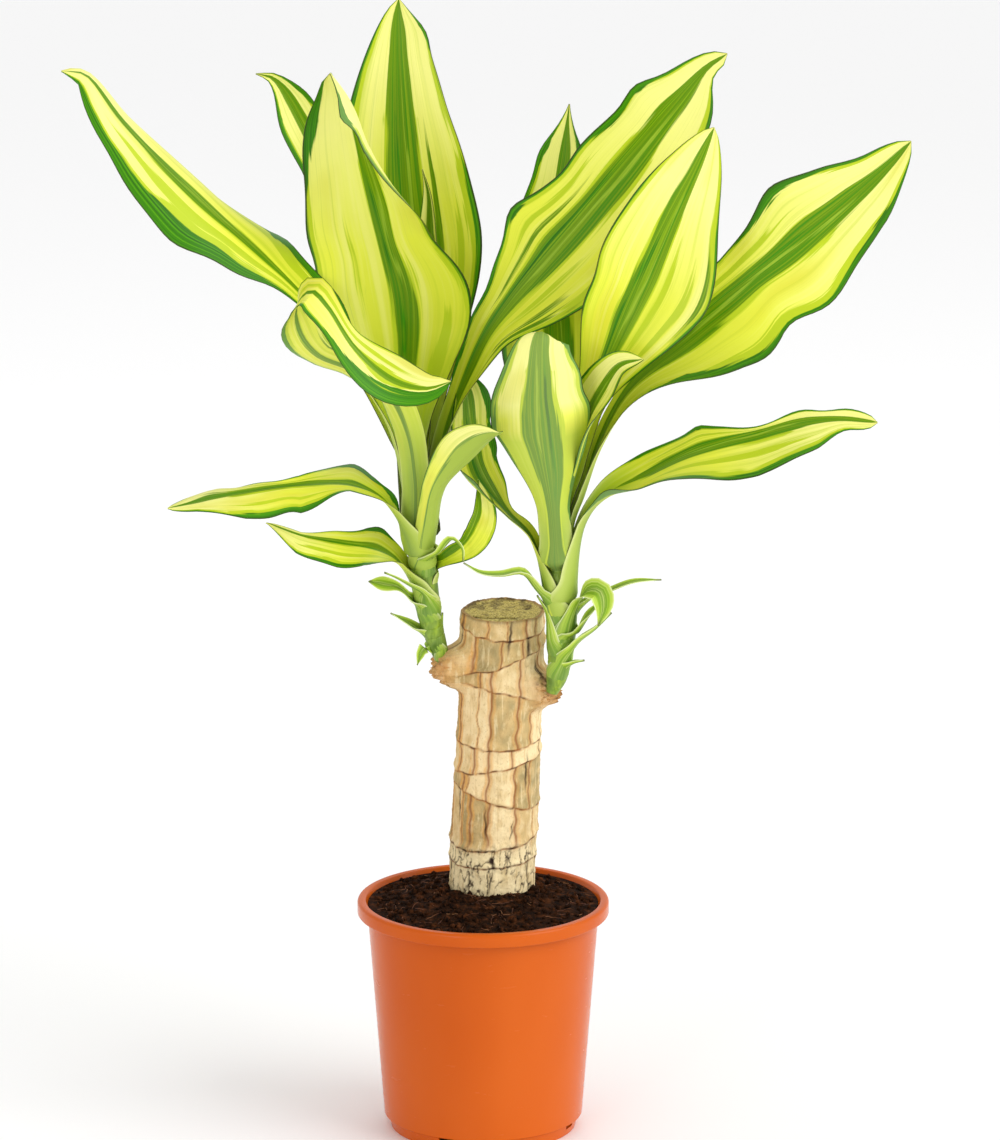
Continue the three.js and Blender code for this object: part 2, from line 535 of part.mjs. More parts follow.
// The hole that the cane stands in.
function caneHole() {
  const [radius, bottom, top] = [CANE.lowRadius + GAP, CANE.bottom - GAP, CANE.scarFrom];
  const post = new THREE.CylinderGeometry(radius, radius, top - bottom, CANE.sides);
  post.rotateX(Math.PI / 2);
  post.translate(CANE_FOOT[0], CANE_FOOT[1], (top + bottom) / 2);
  return solid(post);
}

// ---- soil ----
// The soil's height at a place: a mound, with lumps that fade out towards the wall.
function soilTop(x, y) {
  const out = clamped((Math.hypot(x, y) - SOIL.level) / (SOIL.radius - SOIL.level));
  const lumps = Math.sin(0.31 * x + 1) * Math.sin(0.27 * y + 2) + 0.6 * Math.sin(0.17 * (x + y));
  return mix(SOIL.mound, SOIL.edge, smooth(out)) + SOIL.lump * lumps * (1 - out);
}

// The soil's radius against the pot's wall at a height.
function soilSide(level) {
  const { stepRadius, topRadius, stepHeight, height, flare, wall } = POT;
  const share = (level - stepHeight) / (height - flare - stepHeight);
  return mix(stepRadius, topRadius, share) - wall - SOIL.fit;
}

function soil() {
  const { stepHeight, footRadius, wall, floor, recess, height, flare } = POT;
  const [step, joint] = [stepHeight + wall, height - flare - 0.2];
  const sides = [
    [footRadius - wall - SOIL.fit, floor + recess + GAP],
    [footRadius - wall - 0.2, step - 0.4],
    [soilSide(step), step + 0.8],
    [soilSide(joint), joint],
  ];
  const ringOf = (radius, level) =>
    Array.from({ length: SOIL.segments }, (_, side) => {
      const turn = (2 * Math.PI * side) / SOIL.segments;
      const [x, y] = [radius * Math.cos(turn), radius * Math.sin(turn)];
      return new THREE.Vector3(x, y, level ?? soilTop(x, y));
    });
  const rings = sides.map(([radius, level]) => ringOf(radius, level));
  for (let ring = 0; ring < SOIL.rings; ring++) {
    rings.push(ringOf(mix(SOIL.radius, SOIL.level / 2, ring / (SOIL.rings - 1))));
  }
  return solid(loft(rings)).subtract(caneHole());
}

// ---- stems ----
function stemSolid(stem, grow = 0) {
  const rings = [];
  for (let row = 0; row <= STEM_ROWS; row++) {
    const share = row / STEM_ROWS;
    const centre = stem.axis.getPoint(share);
    const direction = stem.axis.getTangent(share);
    if (row === 0) centre.addScaledVector(direction, -grow);
    if (row === STEM_ROWS) centre.addScaledVector(direction, grow);
    const side = new THREE.Vector3(1, 0, 0).addScaledVector(direction, -direction.x).normalize();
    const front = direction.clone().cross(side);
    const radius = along(stem.radii, share) + grow;
    const ring = [];
    for (let index = 0; index < STEM_SIDES; index++) {
      const turn = (2 * Math.PI * index) / STEM_SIDES;
      const point = centre.clone().addScaledVector(side, radius * Math.cos(turn));
      ring.push(point.addScaledVector(front, radius * Math.sin(turn)));
    }
    rings.push(ring);
  }
  return solid(loft(rings));
}

// ---- leaves ----
// Half the width of a blade at a share of its length.
function bladeHalf({ neck, width, rise, widest, point = 1 }, share) {
  if (share <= rise) return neck / 2;
  if (share <= widest) return mix(neck, width, smooth((share - rise) / (widest - rise))) / 2;
  const rest = (share - widest) / (1 - widest);
  return Math.max((width / 2) * Math.cos((Math.PI / 2) * rest) ** point, BLADE.tip);
}

// The midrib: up the stem inside the sheath, then along the leaf's route.
function midribOf(leaf, out, clasp) {
  const stem = STEMS[leaf.shoot];
  const foot = stemAt(stem, leaf.height).centre.addScaledVector(out, clasp);
  const collar = stemAt(stem, leaf.height + leaf.sheath).centre.addScaledVector(out, clasp + BLADE.spread);
  const midrib = new THREE.CatmullRomCurve3([foot, collar, ...leaf.route.map(vector)]);
  midrib.arcLengthDivisions = 400;
  return midrib;
}

// A leaf as a thin closed blade: its sheath clasps the stem and opens into the stalk and blade.
function standsOut(leaf, share, hand) {
  let out = 1;
  for (const [edge, at, reach, gain] of leaf.bumps ?? []) {
    if (edge === hand) out += gain * Math.exp(-(((share - at) / reach) ** 2));
  }
  return out;
}

function bladeSolid(leaf, grow = 0) {
  const turn = THREE.MathUtils.degToRad(leaf.turn);
  const out = new THREE.Vector3(Math.cos(turn), Math.sin(turn), 0);
  const inside = stemAt(STEMS[leaf.shoot], leaf.height).radius + GAP + BLADE.root / 2 + BLADE.play;
  const clasp = inside + BLADE.layer * leaf.layer - (leaf.sunk ?? 0);
  const midrib = midribOf(leaf, out, clasp);
  const spans = leaf.route.length + 1;
  const [rows, columns] = leaf.cells ?? BLADE.fine;
  const [height, ripples, phase] = leaf.wave;
  const upper = [];
  const lower = [];
  for (let row = 0; row <= rows; row++) {
    const share = (row / rows) ** BLADE.crowd;
    const at = midrib.getUtoTmapping(share);
    const centre = midrib.getPoint(at);
    const direction = midrib.getTangent(at);
    if (row === 0) centre.addScaledVector(direction, -grow);
    if (row === rows) centre.addScaledVector(direction, grow);
    const station = at * spans;
    const open = smooth(station - 1);
    const onRoute = clamped((station - 2) / (spans - 2));
    const face = out.clone().negate().lerp(vector(along(leaf.faces, onRoute)).normalize(), open);
    face.addScaledVector(direction, -face.dot(direction)).normalize();
    const side = direction.clone().cross(face);
    const fold = mix(leaf.grip, along(leaf.folds, onRoute), open);
    const bend = Math.abs(fold) < BLADE.flattest ? BLADE.flattest : fold;
    const radius = (mix(leaf.grip * clasp, bladeHalf(leaf, share), open) + grow) / bend;
    const swell = height * Math.sin(Math.PI * clamped((share - leaf.rise) / (1 - leaf.rise)));
    const lean = open * along(leaf.lean ?? [0], onRoute);
    for (let column = 0; column <= columns; column++) {
      const across = (2 * column) / columns - 1;
      const hand = Math.sign(across);
      const angle = bend * across * (1 + lean * hand) * standsOut(leaf, share, hand);
      const beat = 2 * Math.PI * ripples * share + phase + (across < 0 ? BLADE.apart : 0);
      const rise = radius * (1 - Math.cos(angle)) + swell * across ** 2 * Math.sin(beat);
      const middle = centre.clone().addScaledVector(side, radius * Math.sin(angle));
      middle.addScaledVector(face, rise);
      const normal = face.clone().multiplyScalar(Math.cos(angle)).addScaledVector(side, -Math.sin(angle));
      const body = mix(BLADE.root, BLADE.centre, open);
      const thick = mix(body, BLADE.edge, Math.abs(across) ** 1.5 * open) / 2 + grow;
      upper.push(middle.clone().addScaledVector(normal, thick));
      lower.push(middle.addScaledVector(normal, -thick));
    }
  }
  return solid(meshFrom([...upper, ...lower], bladeFaces(rows, columns)));
}

// The skin of a blade whose upper points come first, then its lower ones.
function bladeFaces(rows, columns) {
  const faces = [];
  const under = (rows + 1) * (columns + 1);
  const at = (row, column) => row * (columns + 1) + column;
  const quad = (a, b, c, d) => faces.push([a, b, c], [a, c, d]);
  for (let row = 0; row < rows; row++) {
    for (let column = 0; column < columns; column++) {
      const [a, b] = [at(row, column), at(row + 1, column)];
      const [c, d] = [b + 1, a + 1];
      faces.push([a, c, b], [a, d, c]);
      faces.push([a + under, b + under, c + under], [a + under, c + under, d + under]);
    }
    quad(at(row, 0), at(row + 1, 0), at(row + 1, 0) + under, at(row, 0) + under);
    quad(at(row + 1, columns), at(row, columns), at(row, columns) + under, at(row + 1, columns) + under);
  }
  for (let column = 0; column < columns; column++) {
    quad(at(0, column + 1), at(0, column), at(0, column) + under, at(0, column + 1) + under);
    quad(at(rows, column), at(rows, column + 1), at(rows, column + 1) + under, at(rows, column) + under);
  }
  return faces;
}

// ---- the plant ----
const plant = new THREE.Group();

function place(name, body, color, roughness) {
  const finish = new THREE.MeshStandardMaterial({ color, roughness, metalness: 0 });
  const mesh = new THREE.Mesh(geometryOf(body), finish);
  mesh.name = name;
  plant.add(mesh);
}

place("pot", pot(), 0xe8662a, 0.4);
place("soil", soil(), 0x2a170e, 1);

// What each later piece keeps clear of, grown by the gap.
const taken = Object.values(STEMS).map((stem) => stemSolid(stem, GAP));
for (const scale of SCALES) taken.push(bladeSolid({ ...SCALE_COMMON, ...scale }, GAP));
const clearOf = (body) => largest(taken.reduce((rest, other) => rest.subtract(other), body));

for (const [side, stem] of Object.entries(STEMS)) {
  const scales = SCALES.filter((scale) => scale.shoot === side);
  const grown = scales.map((scale) => bladeSolid({ ...SCALE_COMMON, ...scale }));
  const body = grown.reduce((whole, scale) => whole.add(scale), stemSolid(stem));
  place(side + "_stem", largest(body), 0x8fae3c, 0.5);
}
place("cane", clearOf(cane()), 0xd9b77a, 0.85);
for (const [name, leaf] of Object.entries(LEAVES)) {
  place(name, clearOf(bladeSolid(leaf)), 0xd8e84a, 0.4);
  taken.push(bladeSolid(leaf, GAP));
}

export default plant;
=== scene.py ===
"""A potted corn plant: variegated leaves on two shoots of a sawn cane, in an orange nursery pot."""

import math
import random

import bmesh
import bpy
import numpy as np
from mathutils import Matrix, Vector, noise


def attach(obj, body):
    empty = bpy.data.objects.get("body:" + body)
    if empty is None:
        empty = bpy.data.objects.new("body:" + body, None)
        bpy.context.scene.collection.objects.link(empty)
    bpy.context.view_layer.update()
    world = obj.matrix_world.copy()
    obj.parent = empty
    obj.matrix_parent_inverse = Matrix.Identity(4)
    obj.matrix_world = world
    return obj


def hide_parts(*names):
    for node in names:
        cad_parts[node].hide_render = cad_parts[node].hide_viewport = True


bl_info = {
    "name": "Potted corn plant",
    "version": (1, 0, 0),
    "blender": (4, 5, 0),
    "location": "View3D > Sidebar > Corn plant",
    "description": "Makes the leaves, stems, cane, soil and pot of a corn plant, and a pale studio",
    "category": "Add Mesh",
}

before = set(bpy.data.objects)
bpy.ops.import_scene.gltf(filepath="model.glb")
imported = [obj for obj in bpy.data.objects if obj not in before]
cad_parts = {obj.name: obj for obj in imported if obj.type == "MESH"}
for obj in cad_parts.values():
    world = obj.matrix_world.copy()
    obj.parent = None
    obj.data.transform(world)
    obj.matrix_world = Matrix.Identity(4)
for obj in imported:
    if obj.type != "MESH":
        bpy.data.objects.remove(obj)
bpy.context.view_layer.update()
MM = 0.001

# ---- shapes, in millimetres, as in the solids ----
GAP = 0.35
STEMS = {
    "left": {
        "points": [(-27, 15, 325), (-31, 14.5, 338), (-36, 12, 358), (-39, 10, 385), (-42, 9, 404),
                   (-43, 8, 412), (-44, 7, 438), (-44.5, 8, 462)],
        "radii": [4, 6.5, 8, 8, 8, 5.6, 5.2, 3.6],
    },
    "right": {
        "points": [(47, -4, 310), (50, -5, 320), (53, -6, 340), (53, -7, 364), (51.5, -8, 392), (51, -8, 400),
                   (50, -7, 425), (48, -6, 450)],
        "radii": [4, 7, 8.8, 8.8, 8.2, 5.6, 5.2, 3.6],
    },
}
# Sheaths: their thickness, from one to the next over it, the play round the stem besides the gap,
# how much further out the collar stands, and how far a sheath's foot sinks into the stem.
SHEATH = dict(root=1.4, layer=1.8, play=0.25, spread=0.8, sink=0.3)
RIPPLES_APART = 1.9  # radians between the ripples of a blade's two edges

# Leaves, each held by a sheath that clasps its stem.
# height, turn: where the sheath starts and the direction it faces, 270 being the viewer.
# layer: how many sheaths it lies over. grip: how far round the stem it reaches, half angle.
# sheath: its length. route: the midrib after the sheath. faces: where the upper side looks.
# folds: half angle of the channel along the route, negative where the halves hang down.
# neck, width: across the stalk and the blade. rise, widest: shares of the length.
# point: how blunt the tip is. lean: the share of its width that one half gives the other.
# wave: height, ripples and phase of the edge.
# bumps: where an edge stands further out or in: which edge, where along the length, reach and size.
# stripe: middle and half width of the green stripe. margins: green edges. bands: more stripes,
# each with its middle, half width, colour, and the shares of the length it starts and ends at.
# pale: the shares between which the ground turns from lime to cream.
# stalk: the shares between which the stalk's skin turns into the blade's.
LEAVES = {
    "left_leaf_1": dict(
        shoot="left", height=420, turn=180, layer=1, grip=0.8, sheath=20,
        route=[(-63, 4, 493), (-88, 2, 539), (-114, 2, 578), (-182, 5, 647), (-239, 8, 703),
               (-266, 8, 736), (-282, 6, 738)],
        faces=[(0.8, -0.3, 0.5), (0.7, -0.45, 0.5), (0.6, -0.6, 0.5), (0.65, -0.35, 0.65),
               (0.65, -0.3, 0.65), (0.65, -0.3, 0.65), (0.6, -0.3, 0.7)],
        folds=[1, 0.65, 0.3, -1, -1.2, -1.1, -0.6],
        neck=18, width=92, rise=0.42, widest=0.68, point=0.8, wave=(2.5, 2.5, 0.4),
        bumps=[(-1, 0.87, 0.08, -0.16), (-1, 0.6, 0.05, -0.13), (-1, 0.5, 0.03, -0.06),
               (-1, 0.44, 0.03, 0.15), (1, 0.42, 0.08, 1.2), (1, 0.545, 0.045, 0.8)],
        stripe=(-0.13, 0.13), margins=(0.28, 0.2),
        bands=[(-0.5, 0.1, "lime", 0.3, 0.95), (-0.42, 0.012, "green", 0.3, 0.7),
               (0.5, 0.2, "lime", 0.3, 0.7)],
    ),
    "left_leaf_2": dict(
        shoot="left", height=430, turn=80, layer=1, grip=0.95, sheath=18,
        route=[(-52, 20, 490), (-55, 24, 535), (-58, 26, 580), (-67, 24, 620), (-79, 16, 669),
               (-92, 6, 719), (-102, -2, 738)],
        faces=[(0.1, -1, 0.2), (0, -1, 0.1), (-0.3, -0.95, 0.1), (-0.8, -0.6, 0), (-0.8, -0.6, 0)],
        folds=[1, 0.6, 0.7, 1.1, 1.1],
        neck=24, width=112, rise=0.1, widest=0.5, point=0.6, wave=(2, 2, 0),
        bumps=[(-1, 0.88, 0.1, 0.18), (-1, 0.58, 0.05, -0.08), (1, 0.6, 0.07, -0.26),
               (1, 0.94, 0.04, 0.45)],
        stripe=(0.06, 0.16), margins=(0.05, 0.05),
        bands=[(-0.97, 0.2, "deep", 0.68, 1.1), (0.3, 0.03, "lime", 0.3, 0.7),
               (-0.45, 0.02, "lime", 0.3, 0.8), (0.62, 0.14, "lime", 0.15, 0.5)],
    ),
    "left_leaf_3": dict(
        shoot="left", height=426, turn=95, layer=2, grip=1, sheath=20,
        route=[(-42, 32, 490), (-42, 44, 530), (-46, 56, 578), (-54, 66, 640), (-57, 72, 708),
               (-58, 76, 762), (-57, 76, 775)],
        faces=[(0, -1, 0.3), (0, -1, 0.2), (0, -1, 0.1)],
        folds=[1, 0.5, 0.4, 0.3, 0.3],
        neck=24, width=96, rise=0.12, widest=0.55, point=0.75, wave=(2, 3, 1),
        bumps=[(1, 0.95, 0.04, 0.35), (1, 0.8, 0.07, -0.07), (1, 0.52, 0.14, 0.08)],
        stripe=(0, 0.26), margins=(0.09, 0.07),
        bands=[(0.42, 0.045, "green", 0.3, 0.86), (0.72, 0.06, "lime", 0.2, 0.72),
               (0.57, 0.02, "green", 0.3, 0.6), (-0.4, 0.04, "lime", 0.3, 0.8),
               (-0.6, 0.03, "lime", 0.3, 0.75)],
    ),
    "left_leaf_4": dict(
        shoot="left", height=418, turn=262, layer=3, grip=1, sheath=16,
        route=[(-46, -12, 458), (-51, -20, 497), (-64, -28, 526), (-88, -34, 543), (-110, -39, 554),
               (-122, -44, 569), (-125, -51, 587), (-114, -59, 601), (-103, -62, 591), (-85, -62, 564),
               (-60, -62, 542), (-38, -61, 536), (-21, -59, 540)],
        faces=[(0.1, 1, 0), (0.2, 0.9, 0.4), (0.4, 0.8, 0.4), (0.4, 0.8, 0.4), (0.3, 0.8, 0.5),
               (-0.2, 0.7, 0.6), (-0.8, 0.1, 0.5), (-0.3, -0.4, 0.9), (0.3, -0.8, 0.5), (0.3, -0.9, 0.4),
               (0.2, -1, 0.3), (0.1, -1, 0.2), (0.1, -1, 0.2)],
        folds=[0.9, 0.6, 0.4, 0.4, 0.5, 0.6],
        neck=22, width=38, rise=0.12, widest=0.84, point=0.7, wave=(1.5, 3, 0),
        bumps=[(-1, 0.74, 0.1, -0.6), (1, 0.75, 0.05, -0.2), (1, 0.57, 0.05, -0.3), (1, 0.48, 0.04, 0.3),
               (1, 0.33, 0.07, 0.9)],
        stripe=(-0.02, 0.12), margins=(0.05, 0.3),
        bands=[(-0.5, 0.12, "lime", 0.5, 1), (0, 0.3, "lime", 0.68, 1.05), (0.75, 0.52, "deep", 0.7, 1.1),
               (-0.75, 0.04, "green", 0.3, 0.62), (0.5, 0.03, "lime", 0.76, 1)],
    ),
    "left_leaf_5": dict(
        shoot="left", height=440, turn=60, layer=0, grip=1.2, sheath=16,
        route=[(-40, 22, 500), (-37, 36, 558), (-36, 43, 612), (-37, 44, 647), (-41, 42, 664)],
        faces=[(-0.3, -1, 0), (-0.5, -0.8, 0)],
        folds=[1.2, 1.2, 1],
        neck=15, width=25, rise=0.1, widest=0.6, wave=(0, 2, 0),
        stripe=(0.1, 0.42), margins=(0.12, 0.1), bands=[],
    ),
    "left_leaf_6": dict(
        shoot="left", height=424, turn=122, layer=3, grip=0.9, sheath=18,
        route=[(-57, 34, 484), (-70, 54, 536), (-88, 70, 595), (-106, 78, 650), (-128, 80, 697),
               (-143, 76, 720), (-154, 72, 724)],
        faces=[(0.4, -0.8, 0.3), (0.3, -1, 0.1), (0.1, -1, 0.1)],
        folds=[0.9, 0.5, 0.5, 0.6],
        neck=20, width=52, rise=0.15, widest=0.6, wave=(2, 2, 2),
        bumps=[(-1, 0.74, 0.06, -0.3), (-1, 0.88, 0.05, 0.3), (1, 0.92, 0.05, 0.5), (-1, 0.14, 0.06, -0.4)],
        stripe=(0.05, 0.3), margins=(0.16, 0.16), bands=[(-0.4, 0.04, "lime", 0.4, 0.95)],
    ),
    "left_leaf_7": dict(
        shoot="left", height=420, turn=15, layer=3, grip=1, sheath=20,
        route=[(-27, 16, 480), (-12, 24, 523), (11, 30, 567), (67, 38, 636), (121, 46, 699),
               (151, 50, 732), (165, 50, 742)],
        faces=[(-0.8, -0.5, 0.4), (-0.3, -0.9, 0.2), (0.2, -0.9, 0.1), (0.2, -0.9, 0.1)],
        folds=[1, 0.6, 0.5, 0.4, 0.3],
        neck=22, width=86, rise=0.22, widest=0.6, point=0.65, lean=[0.15, 0.4, 0.25, 0.15, 0.1],
        wave=(3.5, 2, 0.5),
        bumps=[(-1, 0.55, 0.04, 0.3), (-1, 0.42, 0.035, -0.14), (-1, 0.66, 0.04, -0.12),
               (-1, 0.855, 0.035, 0.34), (-1, 0.31, 0.06, 0.25), (1, 0.96, 0.035, -0.5),
               (1, 0.35, 0.06, -0.35)],
        stripe=(0.02, 0.23), margins=(0.12, 0.12),
        bands=[(-0.4, 0.03, "green", 0.25, 0.8), (-0.62, 0.04, "lime", 0.35, 0.85),
               (-0.33, 0.012, "deep", 0.2, 0.7), (0.62, 0.035, "green", 0.2, 0.62),
               (0.78, 0.05, "green", 0.15, 0.6), (0.42, 0.03, "lime", 0.25, 0.7),
               (-0.95, 0.14, "deep", 0.6, 0.95)],
    ),
    "left_leaf_8": dict(
        shoot="left", height=414, turn=70, layer=4, grip=0.7, sheath=20,
        route=[(-42, 44, 486), (-40, 76, 540), (-42, 112, 600), (-48, 142, 650), (-50, 158, 678)],
        faces=[(0, -1, 0.5), (0, -1, 0.5), (0, -1, 0.4)],
        folds=[0.9, 0.5, 0.3],
        neck=20, width=64, rise=0.2, widest=0.55, wave=(3, 2, 1),
        stripe=(0, 0.18), margins=(0.12, 0.1), bands=[(0.4, 0.04, "lime", 0.3, 0.8)],
    ),
    "left_leaf_9": dict(
        shoot="left", height=394, turn=300, layer=0, grip=1.5, sheath=12,
        route=[(-36, -12, 430), (-30, -26, 458), (-13, -42, 483), (1, -54, 499), (11, -63, 506)],
        faces=[(-0.3, 0.8, 0.4), (-0.42, 0.68, 0.35), (-0.42, 0.68, 0.35)],
        folds=[1.1, 1.1, 1.1, 0.9],
        neck=20, width=46, rise=0.36, widest=0.78, point=0.5, wave=(1, 2, 0),
        bumps=[(1, 0.6, 0.15, -0.12), (-1, 0.7, 0.25, -0.6)],
        # The wide band of sheath green over the lower half is painted shade: that half of the underside lies
        # in shade.
        stripe=(0.42, 0.05), margins=(0.06, 0.05), bands=[(-0.3, 0.74, "sheath", -0.2, 1.1)],
    ),
    "left_leaf_10": dict(
        shoot="left", height=402, turn=236, layer=1, grip=1.1, sheath=10,
        route=[(-60, -12, 438), (-70, -15, 450), (-90, -15, 458), (-124, -15, 459), (-164, -18, 454),
               (-195, -20, 447), (-213, -20, 443)],
        faces=[(0.6, 0.1, 0.8), (0.1, -0.4, 0.9), (0, -0.45, 0.9), (0, -0.45, 0.9)],
        folds=[1, 0, -0.5, -0.5, -0.3],
        neck=15, width=36, rise=0.18, widest=0.5, point=0.6, lean=[0, 0.2, 0.45, -0.5, -0.45, 0, 0],
        wave=(2.5, 2, 1),
        bumps=[(1, 0.87, 0.06, 2.2), (1, 0.6, 0.07, -0.6), (1, 0.37, 0.08, 0.6), (-1, 0.6, 0.07, -0.2),
               (1, 0.22, 0.05, 0.5)],
        stripe=(0.02, 0.17), margins=(0.2, 0.18), stalk=(0.16, 0.28),
        bands=[(-0.5, 0.05, "lime", 0.3, 0.9), (0.45, 0.05, "lime", 0.3, 0.9)],
    ),
    "left_leaf_11": dict(
        shoot="left", height=368, turn=190, layer=0, grip=1.7, sheath=14,
        route=[(-58, 4, 400), (-70, 2, 408), (-97, 0, 414), (-124, -2, 420), (-147, -4, 429)],
        faces=[(0.7, -0.2, 0.7), (0.2, -0.6, 0.8), (0, -0.6, 0.8)],
        folds=[1, 0, -0.3, -0.2],
        neck=14, width=34, rise=0.12, widest=0.42, point=0.9, lean=[0, 0, -0.4, -0.7, 0], wave=(2, 1.5, 2),
        bumps=[(1, 0.42, 0.07, 0.35), (-1, 0.72, 0.12, -0.18)],
        stripe=(0.05, 0.16), margins=(0.12, 0.08), bands=[(-0.5, 0.08, "lime", 0.2, 0.9)],
    ),
    "left_leaf_12": dict(
        shoot="left", height=384, turn=50, layer=0, grip=1, sheath=10,
        route=[(-26, 6, 401), (-11, -2, 415), (-1, -6, 436), (-3, -8, 460)],
        faces=[(-0.3, -0.9, 0.3), (0.6, -0.8, 0), (0.6, -0.8, 0)],
        folds=[1, 0.7, 0.5],
        neck=10, width=27, rise=0.2, widest=0.6, wave=(0.5, 2, 0),
        bumps=[(-1, 0.5, 0.12, -0.5)],
        stripe=(-0.45, 0.4), margins=(0.1, 0.08), bands=[],
    ),
    "right_leaf_1": dict(
        shoot="right", height=398, turn=265, layer=3, grip=1, sheath=20,
        route=[(46, -26, 452), (41, -34, 490), (38, -42, 523), (38, -46, 552), (39, -42, 568),
               (41, -24, 564)],
        faces=[(0, 1, 0.2), (0, 1, 0.1), (0, 1, 0), (0, 0.5, -1)],
        folds=[1, 0.7, 0.7, 0.7],
        neck=24, width=74, rise=0.2, widest=0.6, wave=(1, 2, 0),
        bumps=[(-1, 0.34, 0.12, 0.45), (-1, 0.9, 0.04, 0.4), (-1, 0.68, 0.06, -0.1), (1, 0.52, 0.04, 0.1),
               (1, 0.75, 0.1, -0.12)],
        stripe=(0, 0.32), margins=(0.08, 0.1), pale=(0.5, 0.64), bands=[],
    ),
    "right_leaf_2": dict(
        shoot="right", height=414, turn=45, layer=1, grip=1, sheath=18,
        route=[(62, 6, 470), (74, 4, 516), (86, -1, 548), (107, -6, 600), (124, -8, 639), (143, -4, 676),
               (155, 0, 701)],
        faces=[(-0.3, -1, 0.3), (0.1, -1, 0.2), (0.3, -0.95, 0.1), (0.3, -0.95, 0.1)],
        folds=[1, 0.5, 0.4, 0.3],
        neck=22, width=82, rise=0.3, widest=0.62, point=0.7, lean=[0.1, 0.1, -0.1], wave=(1.5, 2, 0),
        bumps=[(-1, 0.6, 0.05, -0.12), (1, 0.66, 0.12, 0.1)],
        stripe=(0, 0.2), margins=(0.04, 0.06),
        bands=[(0.35, 0.05, "lime", 0.3, 0.85), (0.62, 0.06, "lime", 0.3, 0.8),
               (0.85, 0.03, "green", 0.4, 0.9)],
    ),
    "right_leaf_3": dict(
        shoot="right", height=406, turn=5, layer=2, grip=0.9, sheath=20,
        route=[(68, 2, 448), (79, 8, 484), (98, 14, 519), (148, 24, 566), (200, 30, 606), (239, 32, 638),
               (277, 34, 672), (289, 34, 685)],
        faces=[(-0.8, -0.3, 0.5), (-0.4, -0.8, 0.4), (0.1, -1, 0), (0.1, -1, 0)],
        folds=[1, 0.6, 0.3, 0.3, 0.2],
        neck=22, width=84, rise=0.28, widest=0.62, point=0.68, lean=[0.3, 0.55, 0.45, -0.1, -0.15],
        wave=(3.5, 2, 1),
        bumps=[(-1, 0.755, 0.06, 0.34), (-1, 0.92, 0.05, -0.2), (1, 0.63, 0.06, -0.28),
               (1, 0.42, 0.07, 0.34), (1, 0.88, 0.07, 0.2)],
        stripe=(0, 0.25), margins=(0.1, 0.13),
        bands=[(-0.98, 0.2, "deep", 0.55, 0.92), (-0.5, 0.07, "lime", 0.35, 0.85),
               (0.84, 0.12, "lime", 0.15, 0.8), (-0.3, 0.02, "green", 0.3, 0.8),
               (1, 0.15, "deep", 0.24, 0.86)],
    ),
    "right_leaf_4": dict(
        shoot="right", height=412, turn=318, layer=0, grip=1, sheath=16,
        route=[(63, -14, 470), (70, -18, 503), (80, -22, 525), (92, -25, 543), (108, -28, 548)],
        faces=[(-0.5, -0.2, 0.7), (-0.4, -0.6, 0.7), (-0.3, -0.7, 0.7)],
        folds=[1, 0.7, 0.5],
        neck=13, width=42, rise=0.3, widest=0.64, point=0.8, wave=(1, 2, 0),
        stripe=(0, 0.22), margins=(0.1, 0.14), bands=[],
    ),
    "right_leaf_5": dict(
        shoot="right", height=374, turn=350, layer=1, grip=1.4, sheath=18,
        route=[(69, -10, 430), (84, -13, 451), (108, -18, 465), (141, -24, 484), (183, -31, 499),
               (226, -37, 509), (265, -39, 507)],
        faces=[(-0.8, 0, 0.5), (-0.3, -0.45, 0.83), (-0.1, -0.68, 0.73)],
        folds=[1, 0.4, 0.1, 0],
        neck=22, width=56, rise=0.2, widest=0.6, point=0.6, lean=[0, 0, 0.1, 0.25, 0.55, 0.45, 0],
        wave=(2.5, 2.5, 1),
        bumps=[(-1, 0.4, 0.05, 0.15), (-1, 0.56, 0.025, 0.15), (-1, 0.71, 0.08, -0.85),
               (-1, 0.875, 0.04, -0.25), (1, 0.34, 0.07, 0.8), (1, 0.65, 0.12, 0.08),
               (1, 0.93, 0.05, -0.45)],
        stripe=(-0.02, 0.22), margins=(0.14, 0.16), stalk=(0.26, 0.4),
        bands=[(0.45, 0.08, "lime", 0.3, 0.95), (-0.5, 0.05, "lime", 0.3, 0.9)],
    ),
    "right_leaf_6": dict(
        shoot="right", height=408, turn=105, layer=2, grip=0.8, sheath=18,
        route=[(48, 20, 476), (47, 36, 519), (46, 60, 570), (47, 80, 621), (53, 92, 661), (59, 100, 698)],
        faces=[(0, -1, 0.4), (0, -1, 0.3), (0, -1, 0.2)],
        folds=[1, 0.5, 0.4, 0.5],
        neck=20, width=72, rise=0.12, widest=0.45, wave=(2, 2, 0),
        bumps=[(-1, 0.9, 0.05, 0.45), (1, 0.9, 0.05, 0.5)],
        stripe=(0.15, 0.26), margins=(0.14, 0.08), bands=[(-0.4, 0.05, "green", 0.4, 0.9)],
    ),
    "right_leaf_7": dict(
        shoot="right", height=364, turn=190, layer=0, grip=1.4, sheath=18,
        route=[(33, -4, 418), (18, 2, 434), (5, 8, 450), (-4, 14, 467), (-9, 22, 492), (-12, 30, 513),
               (-17, 38, 534)],
        faces=[(0.8, -0.4, 0.4), (0.6, -0.8, 0.3), (0.4, -0.9, 0.3)],
        folds=[1, 0.6, 0.5],
        neck=13, width=38, rise=0.25, widest=0.6, lean=[0, 0, -0.2, -0.4, -0.3, 0, 0], wave=(1.5, 2, 0),
        bumps=[(1, 0.42, 0.07, -0.5), (1, 0.68, 0.08, 0.4), (-1, 0.56, 0.06, 0.5), (1, 0.87, 0.1, 0.8)],
        stripe=(0, 0.3), margins=(0.14, 0.1), bands=[],
    ),
    "right_leaf_8": dict(
        shoot="right", height=402, turn=70, layer=3, grip=0.7, sheath=20,
